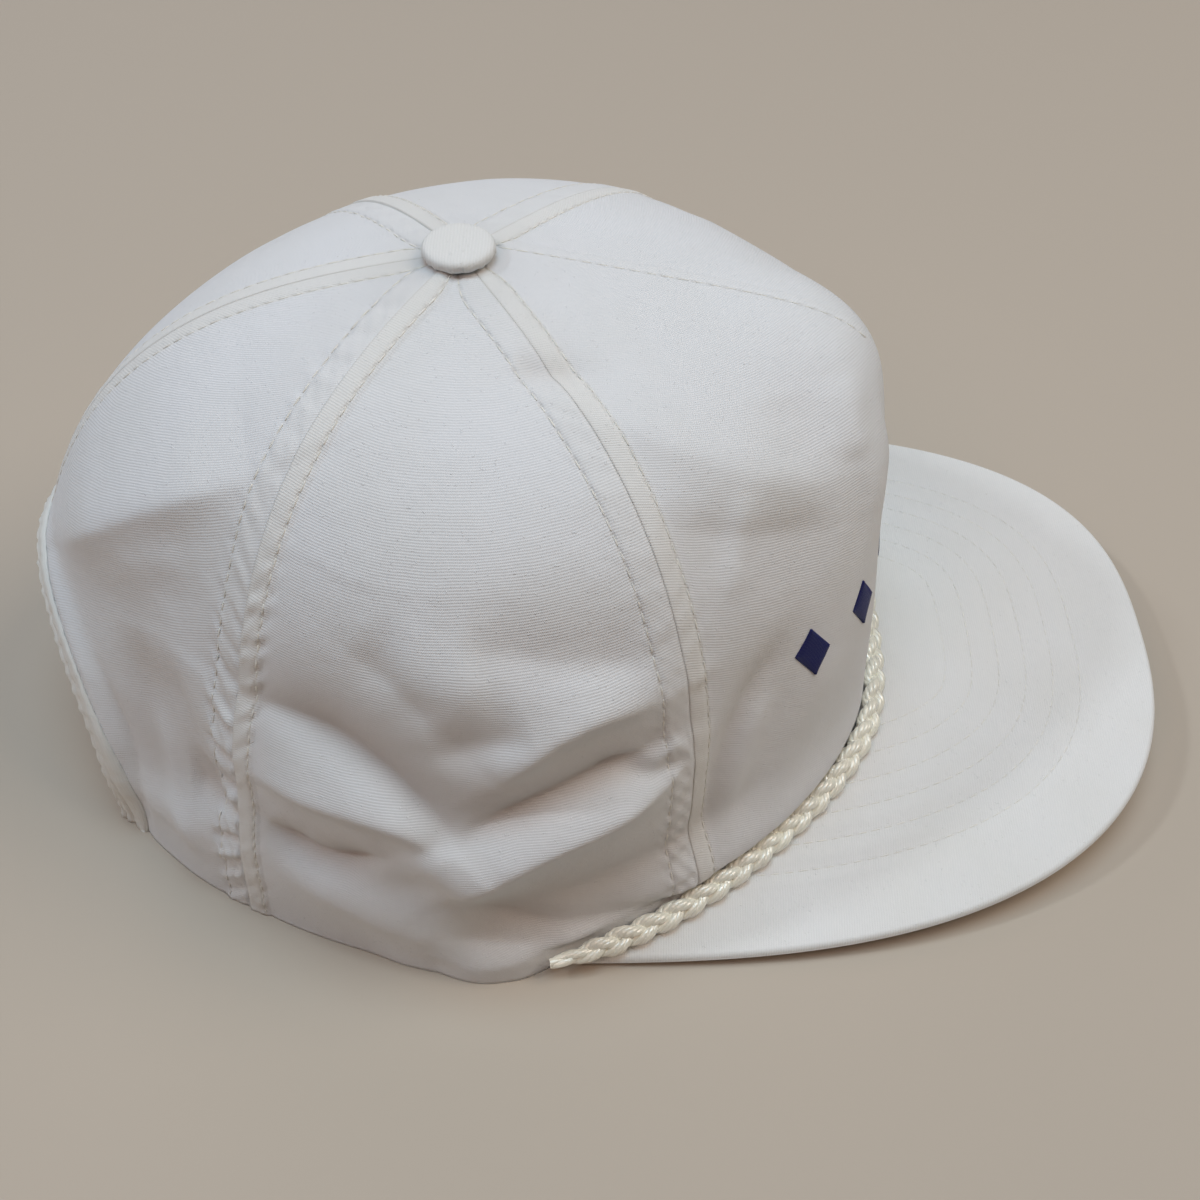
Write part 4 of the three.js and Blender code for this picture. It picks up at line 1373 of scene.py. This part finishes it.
def build_tape():
    """The section carried round the arch, with puckers where the tape is sewn down outside."""
    section = tape_section()
    way, depth = section.T
    turn = np.radians(np.linspace(-90, 90, TAPE_COLUMNS + 1))[:, None]
    angle = wrapped(BACK + (ARCH_HALF_ANGLE + way[None] / MM_PER_DEGREE) * np.sin(turn))
    height = np.maximum((ARCH_HEIGHT + way[None]) * np.cos(turn), 0.0)
    _, plain, normals, _ = cloth_surface(angle, climb_at_height(angle, height))
    plain, normals = plain.reshape(*angle.shape, 3), normals.reshape(*angle.shape, 3)
    length = travelled(plain[:, 0])
    beat = np.sin(length * FULL_TURN / 4.6 + 1.3 * np.sin(length / 11))
    quick = np.sin(length * FULL_TURN / 2.7 + 0.9)
    loose = np.where(way < PUCKERED_WAY, 1.0, CALM_WAY_SHARE) * np.where(depth < PUCKERED_DEPTH, 1.0, 0.0)
    pucker = (0.20 * beat + 0.10 * quick)[:, None] * loose[None]
    rings = plain - normals * (depth[None] - pucker)[..., None]
    rings[..., 2] = np.maximum(rings[..., 2], LOWEST_TAPE)
    uv = np.stack(np.broadcast_arrays(length[:, None], travelled(section)[None]), -1)
    return lofted_mesh("opening_tape", rings[:, ::-1], uv[:, ::-1])


tape = build_tape()
tape_cloth = twill("binding tape", ribs=1900, depth=0.05, readings=False, colour=(0.81, 0.80, 0.76, 1))
tape.data.materials.append(tape_cloth)
print("tape:", len(tape.data.polygons), "faces")

# %% Strap
STRAP_HALF_ANGLE = 43.0
STRAP_LOW = 3.0
STRAP_HIGH = 22.0
STRAP_MIDDLE = (STRAP_LOW + STRAP_HIGH) / 2
STRAP_THICKNESS = 1.6
STRAP_INSET = TAPE_FOLD / 2 + BINDING_RADIUS + GAP
STRAP_COLUMNS = 141
STRAP_SIDES = 24
STRAP_CORNERS = 0.35
STRAP_END = 3.2
STRAP_END_SHARE = 0.62
LIP_SHARE = 0.72
LIP_EDGE = (0.80, 0.90)


def strap_material():
    """Moulded plastic: a fine spark texture, and patches a little duller than the rest."""
    material, tree, shader = new_material("strap plastic", roughness=0.42, specular=0.45)
    body = add_node(tree, "ShaderNodeTexCoord").outputs["Object"]
    colour = mix(tree, patches(tree, body, 60, 3), (0.80, 0.80, 0.78, 1), (0.75, 0.74, 0.71, 1))
    tree.links.new(colour, shader.inputs["Base Color"])
    bumped(tree, shader, noise(tree, body, 2400, 2), 0.05, 0.6)
    return material


def squared(wave):
    """A wave between -1 and 1 that stays near its ends, so a circle of them is a rounded box."""
    return np.sign(wave) * np.abs(wave) ** STRAP_CORNERS


def build_strap():
    """A flat band with rounded ends and a raised lip along both edges, inside the binding."""
    angle = np.linspace(BACK - STRAP_HALF_ANGLE, BACK + STRAP_HALF_ANGLE, STRAP_COLUMNS)
    end = np.clip((STRAP_HALF_ANGLE - np.abs(angle - BACK)) / STRAP_END, 0, 1)
    tall = (STRAP_HIGH - STRAP_LOW) / 2
    tall = tall * (STRAP_END_SHARE + (1 - STRAP_END_SHARE) * np.sqrt(1 - (1 - end) ** 2))
    turn = np.linspace(0, FULL_TURN, STRAP_SIDES, endpoint=False) + math.pi / STRAP_SIDES
    across = squared(np.sin(turn))
    lip = LIP_SHARE + (1 - LIP_SHARE) * smooth_between(np.abs(across), *LIP_EDGE)
    height = STRAP_MIDDLE + tall[:, None] * across[None]
    depth = STRAP_INSET + STRAP_THICKNESS / 2 - squared(np.cos(turn)) * lip * STRAP_THICKNESS / 2
    return lofted_mesh("strap_band", wall_point(wrapped(angle)[:, None], height, depth[None]))


strap = build_strap()
plastic = strap_material()
strap.data.materials.append(plastic)
print("strap:", len(strap.data.polygons), "faces")

# %% Pegs
# Five steps over LEAST_PEG_STEP fit in the row's length, so it has six pegs, about 11 mm apart.
LEAST_PEG_STEP = 9.5
PEG_ROW_LENGTH = 57.2
PEG_DEPTH = 0.25
PEG_ROW_HALF_ANGLE = 22
PEG_ROW_POINTS = 160
FOOT_WIDTH = 1.45
FOOT_HEIGHT = 0.35


def dome(tree, ball, width, height):
    """The ball flattened to a width and a height."""
    scale = add_node(tree, "ShaderNodeCombineXYZ", {0: width, 1: width, 2: height}).outputs[0]
    return add_node(tree, "GeometryNodeTransform", {"Geometry": ball, "Scale": scale}).outputs[0]


def peg_tree():
    """A peg at every cut: a round head on a wider and lower foot."""
    tree, size = node_group("row of pegs", ["Spacing", "Radius", "Height"])
    spots = evenly_cut(tree, size, "Spacing")
    axes = {"Primary Axis": named(tree, "facing")}
    axes["Secondary Axis"] = add_node(tree, "GeometryNodeInputTangent").outputs[0]
    turn = add_node(tree, "FunctionNodeAxesToRotation", axes, primary_axis="Z", secondary_axis="X")
    inputs = {"Segments": 20, "Rings": 12, "Radius": 1.0}
    ball = add_node(tree, "GeometryNodeMeshUVSphere", inputs).outputs[0]
    wide = maths(tree, "MULTIPLY", size["Radius"], FOOT_WIDTH)
    low = maths(tree, "MULTIPLY", size["Height"], FOOT_HEIGHT)
    peg = add_node(tree, "GeometryNodeJoinGeometry")
    tree.links.new(dome(tree, ball, size["Radius"], size["Height"]), peg.inputs[0])
    tree.links.new(dome(tree, ball, wide, low), peg.inputs[0])
    inputs = {"Points": spots, "Instance": peg.outputs[0], "Rotation": turn.outputs[0]}
    row = add_node(tree, "GeometryNodeInstanceOnPoints", inputs)
    finish_tree(tree, row.outputs[0], size["Material"])
    return tree


def peg_path():
    """The middle line of the strap's outer face, as long as the row of pegs."""
    angle = wrapped(np.linspace(-PEG_ROW_HALF_ANGLE, PEG_ROW_HALF_ANGLE, PEG_ROW_POINTS) + BACK)
    place = wall_point(angle, STRAP_MIDDLE, STRAP_INSET + PEG_DEPTH)
    outward = unit(place - wall_point(angle, STRAP_MIDDLE, STRAP_INSET + PEG_DEPTH + 1))
    length = travelled(place)
    keep = np.abs(length - length[-1] / 2) < PEG_ROW_LENGTH / 2
    return place[keep], outward[keep]


peg_sizes = {"Spacing": LEAST_PEG_STEP * MM, "Radius": 2.0 * MM, "Height": 1.3 * MM}
pegs = along_paths("strap_pegs", [peg_path()], peg_tree(), peg_sizes, plastic)
print("pegs:", len(pegs.data.polygons), "faces")

# %% [markdown]
# ## Button
# The button is a metal disc wrapped in the crown's cloth. The cloth lies smooth on its flat top, and
# gathers into small pleats where it is drawn under the rim.

# %% Button
BUTTON_HEIGHT = 3.1
BUTTON_PROFILE = [
    (0.5, 0.0), (4.0, 0.0), (6.3, 0.05), (6.9, 0.22), (7.3, 0.6), (7.45, 1.1), (7.5, 1.6), (7.42, 2.05),
    (7.15, 2.45), (6.7, 2.72), (6.0, 2.88), (5.0, 2.98), (3.8, 3.04), (2.4, 3.08), (1.2, 3.1), (0.3, 3.1),
]
BUTTON_STEPS = 46
BUTTON_EASINGS = 3
BUTTON_COLUMNS = 72
SKIRT_HEIGHTS = (0.8, 2.2)
SKIRT_RADII = (3, 7)
MAP_STRETCH = 0.25 / 8


def build_button():
    """The profile turned round, a little out of true, with pleats in the skirt under its rim."""
    radius, height = eased_line(BUTTON_PROFILE, BUTTON_STEPS, BUTTON_EASINGS)[..., None]
    turn = np.linspace(0, FULL_TURN, BUTTON_COLUMNS, endpoint=False)
    skirt = (1 - smooth_between(height, *SKIRT_HEIGHTS)) * smooth_between(radius, *SKIRT_RADII)
    pleat = 0.12 * np.sin(turn * 15 + 1.2 * np.sin(turn * 3)) + 0.06 * np.sin(turn * 26)
    out = radius * (1 + 0.004 * np.sin(2 * turn)) + skirt * pleat
    lump = 0.05 * np.sin(turn * 2 + 0.6) * (radius / BUTTON_RADIUS) * (height > GAP)
    bottom = float(smooth_crown(np.linspace(-BACK, BACK, 73), TOP_EDGE)[:, 2].max()) + GAP
    rings = np.stack([out * np.cos(turn), TOP_OFFSET + out * np.sin(turn), bottom + height + lump], -1)
    uv = rings[..., :2] * (1 + MAP_STRETCH * (BUTTON_HEIGHT - height))[..., None]
    return lofted_mesh("button_cover", rings, uv)


button = build_button()
button_cloth = twill("button cloth", ribs=1550, depth=0.05, readings=False, colour=(0.80, 0.80, 0.79, 1))
button.data.materials.append(button_cloth)
print("button:", len(button.data.polygons), "faces")

# %% [markdown]
# ## Embroidery
# The front carries a plain row of navy lozenges in satin stitch. Satin stitch is thread laid side by
# side from edge to edge, each turn rounded over the cloth, so every thread is a path of its own, and
# one small tree gives them all their thickness.

# %% Row of lozenges
LOZENGES = 7
LOZENGE_STEP = 11.5
LOZENGE_HEIGHT = 65.0
LOZENGE_TALL = 6.4
LOZENGE_WIDE = 4.8
THREAD_PITCH = 0.36
THREAD_LIFT = 0.34
THREAD_LEAN = 0.3
THREAD_POINTS = 7
THREAD_SIDES = 5


def satin_tree():
    tree, size = node_group("satin stitch", ["Thickness"])
    curve = add_node(tree, "GeometryNodeMeshToCurve", {"Mesh": size["Geometry"]}).outputs[0]
    radius = maths(tree, "MULTIPLY", size["Thickness"], 0.5)
    inputs = {"Resolution": THREAD_SIDES, "Radius": radius}
    section = add_node(tree, "GeometryNodeCurvePrimitiveCircle", inputs).outputs[0]
    finish_tree(tree, swept(tree, curve, section), size["Material"])
    return tree


def lozenge_threads():
    """Every thread of the row, as its points and the way that each of them faces."""
    middles = LOZENGE_STEP * (np.arange(LOZENGES) - (LOZENGES - 1) / 2)
    rises = np.arange(-LOZENGE_TALL + THREAD_PITCH, LOZENGE_TALL - THREAD_PITCH / 2, THREAD_PITCH)
    share = np.linspace(0, 1, THREAD_POINTS)
    half = LOZENGE_WIDE * (1 - np.abs(rises) / LOZENGE_TALL)
    offset = half[:, None] * (2 * share - 1)
    middle, offset = np.broadcast_arrays(middles[:, None, None], offset[None])
    height = LOZENGE_HEIGHT + rises[None, :, None] + THREAD_LEAN * offset
    radius = axis_radius(smooth_crown(middle, climb_at_height(middle, height)))
    angle = middle + np.degrees(offset / radius)
    finished, _, normals, _ = cloth_surface(angle, climb_at_height(angle, height))
    lift = np.tile(THREAD_LIFT * np.sin(math.pi * share) ** 0.6, len(finished) // len(share))
    points = (finished + normals * lift[:, None]).reshape(-1, len(share), 3)
    return list(zip(points, normals.reshape(points.shape)))


navy_thread = yarn_material(
    "navy thread", (0.006, 0.010, 0.11), roughness=0.42, sheen=0.0, specular=0.3, per_metre=2600, depth=0.10
)
threads = lozenge_threads()
lozenges = along_paths("front_embroidery", threads, satin_tree(), {"Thickness": 0.42 * MM}, navy_thread)
print("embroidery:", len(threads), "threads,", len(lozenges.data.polygons), "faces")

# %% [markdown]
# ## Floor, light and camera
# The floor is one large pale sheet that thins out far from the cap, where a backdrop of its own tone
# takes over, so a low view has no dark horizon. Only the camera sees the backdrop: it lights nothing.
# White cloth shows its folds only if its light is uneven, so one cool softbox hangs overhead, a
# warmer one stands in front, and four weak ones fill the sides and the back. A small lamp behind the
# cap gives the soft edge of the crown's shadow on the brim.

# %% Floor and backdrop
FLOOR_HALF = 6
FLOOR_COLOUR = (0.50, 0.435, 0.36, 1)
FLOOR_THINS_AT = 0.75
FLOOR_GONE_AT = 1.6
BACKDROP_COLOUR = (0.33, 0.29, 0.245, 1)


def floor_material():
    """Pale paint that turns clear between two distances from the cap, in metres."""
    material, tree, shader = new_material("pale floor", roughness=0.85, specular=0.5)
    shader.inputs["Base Color"].default_value = FLOOR_COLOUR
    place = add_node(tree, "ShaderNodeTexCoord").outputs["Object"]
    distance = add_node(tree, "ShaderNodeVectorMath", {0: place}, operation="LENGTH").outputs["Value"]
    inputs = {"Value": distance, "From Min": FLOOR_THINS_AT, "From Max": FLOOR_GONE_AT}
    share = add_node(tree, "ShaderNodeMapRange", inputs, interpolation_type="SMOOTHSTEP").outputs["Result"]
    clear = add_node(tree, "ShaderNodeBsdfTransparent").outputs[0]
    mixed = add_node(tree, "ShaderNodeMixShader", {0: share, 1: shader.outputs[0], 2: clear}).outputs[0]
    tree.links.new(mixed, tree.nodes["Material Output"].inputs["Surface"])
    return material


floor_mesh = bpy.data.meshes.new("floor")
floor_corners = [(x * FLOOR_HALF, y * FLOOR_HALF, 0) for x, y in ((-1, -1), (1, -1), (1, 1), (-1, 1))]
floor_mesh.from_pydata(floor_corners, [], [(0, 1, 2, 3)])
floor_mesh.materials.append(floor_material())
floor = bpy.data.objects.new("floor", floor_mesh)
bpy.context.scene.collection.objects.link(floor)

world = bpy.data.worlds.new("pale backdrop")
world.use_nodes = True
world.node_tree.nodes["Background"].inputs["Color"].default_value = BACKDROP_COLOUR
bpy.context.scene.world = world
for ray in ("diffuse", "glossy", "transmission", "scatter"):
    setattr(world.cycles_visibility, ray, False)
print("the floor thins out from", FLOOR_THINS_AT, "to", FLOOR_GONE_AT, "m")

# %% Lamps: name, direction from the cap, size in metres, strength in watts, and colour
LAMPS = [
    ("overhead softbox", (0, 0, 1), 1.3, 22.5, (0.60, 0.83, 1.0)),
    ("front softbox", (0, -0.616, 0.788), 1.3, 18.4, (1.0, 0.87, 0.74)),
    ("right front fill", (0.533, -0.308, 0.788), 1.3, 2.2, (1.0, 0.62, 0.55)),
    ("right rear fill", (0.814, 0.470, 0.342), 1.3, 6.0, (1.0, 0.865, 0.853)),
    ("rear fill", (0, 0.940, 0.342), 1.3, 1.6, (1.0, 0.94, 0.94)),
    ("left fill", (-0.533, 0.308, 0.788), 1.1, 7.8, (1.0, 0.70, 0.58)),
    ("shadow lamp", (-0.086, 0.635, 0.768), 0.2, 8.0, (0.85, 0.93, 1.0)),
]
LAMP_DISTANCE = 2.2
LAMP_AIM = Vector((0, 0, 0.05))


def hang_lamp(name, towards, size, watts, colour):
    light = bpy.data.lights.new(name, "AREA")
    light.shape = "DISK"
    light.size = size
    light.energy = watts
    light.color = colour
    stand = bpy.data.objects.new(name, light)
    direction = Vector(towards).normalized()
    stand.location = LAMP_AIM + direction * LAMP_DISTANCE
    stand.rotation_euler = direction.to_track_quat("Z", "Y").to_euler()
    bpy.context.scene.collection.objects.link(stand)


for row in LAMPS:
    hang_lamp(*row)
print(len(LAMPS), "lamps,", round(sum(row[3] for row in LAMPS), 1), "W in all")

# %% Camera
CAMERA_PLACE = (-0.2491, -0.0010, 0.3035)
CAMERA_LOOKS = Vector((0.66602, 0.00841, -0.74589))
LENS = 44.36
SENSOR = 36
NEAREST = 0.02
camera_data = bpy.data.cameras.new("camera")
camera_data.lens = LENS
camera_data.sensor_width = SENSOR
camera_data.clip_start = NEAREST
camera = bpy.data.objects.new("camera", camera_data)
camera.location = CAMERA_PLACE
camera.rotation_euler = CAMERA_LOOKS.to_track_quat("-Z", "Y").to_euler()
bpy.context.scene.collection.objects.link(camera)
bpy.context.scene.camera = camera
bpy.context.scene.view_settings.view_transform = "Standard"
print("the camera stands", round(camera.location.length, 3), "m away")

# %% [markdown]
# ## Fitting the pieces to the frame
# Every piece rides on the one body, and the imported part that it stands for is hidden. The table
# also names the finish slot of each piece. The panels are sheets of cloth, so their cut size is told
# too, measured from their meshes.

# %% What each piece stands for, and its finish
STANDS_FOR = [
    *((piece, name, "panel_cloth") for name, piece in panels.items()),
    (crown_stitches, None, "panel_cloth"),
    (lozenges, None, "panel_cloth"),
    (button, "crown_button", "panel_cloth"),
    (brim, "brim", "brim_cloth"),
    (brim_stitches, None, "brim_cloth"),
    (rope, "rope_braid", "rope_cord"),
    (tape, "rear_opening_binding", "binding_tape"),
    (strap, "snap_strap", "strap_plastic"),
    (pegs, None, "strap_plastic"),
]
for piece, node, slot in STANDS_FOR:
    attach(piece, "root")
    if node:
        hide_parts(node)


def triangles(piece):
    return sum(len(face.vertices) - 2 for face in piece.data.polygons)


counts = [triangles(piece) for piece, _, _ in STANDS_FOR]
print("triangles:", sum(counts), "and the most in one piece", max(counts))

# %% Cut sizes of the panels, in metres
CURVE_SHARE = 1.05
for name, piece in panels.items():
    size = piece.dimensions
    length = math.hypot(size.z, min(size.x, size.y)) * CURVE_SHARE
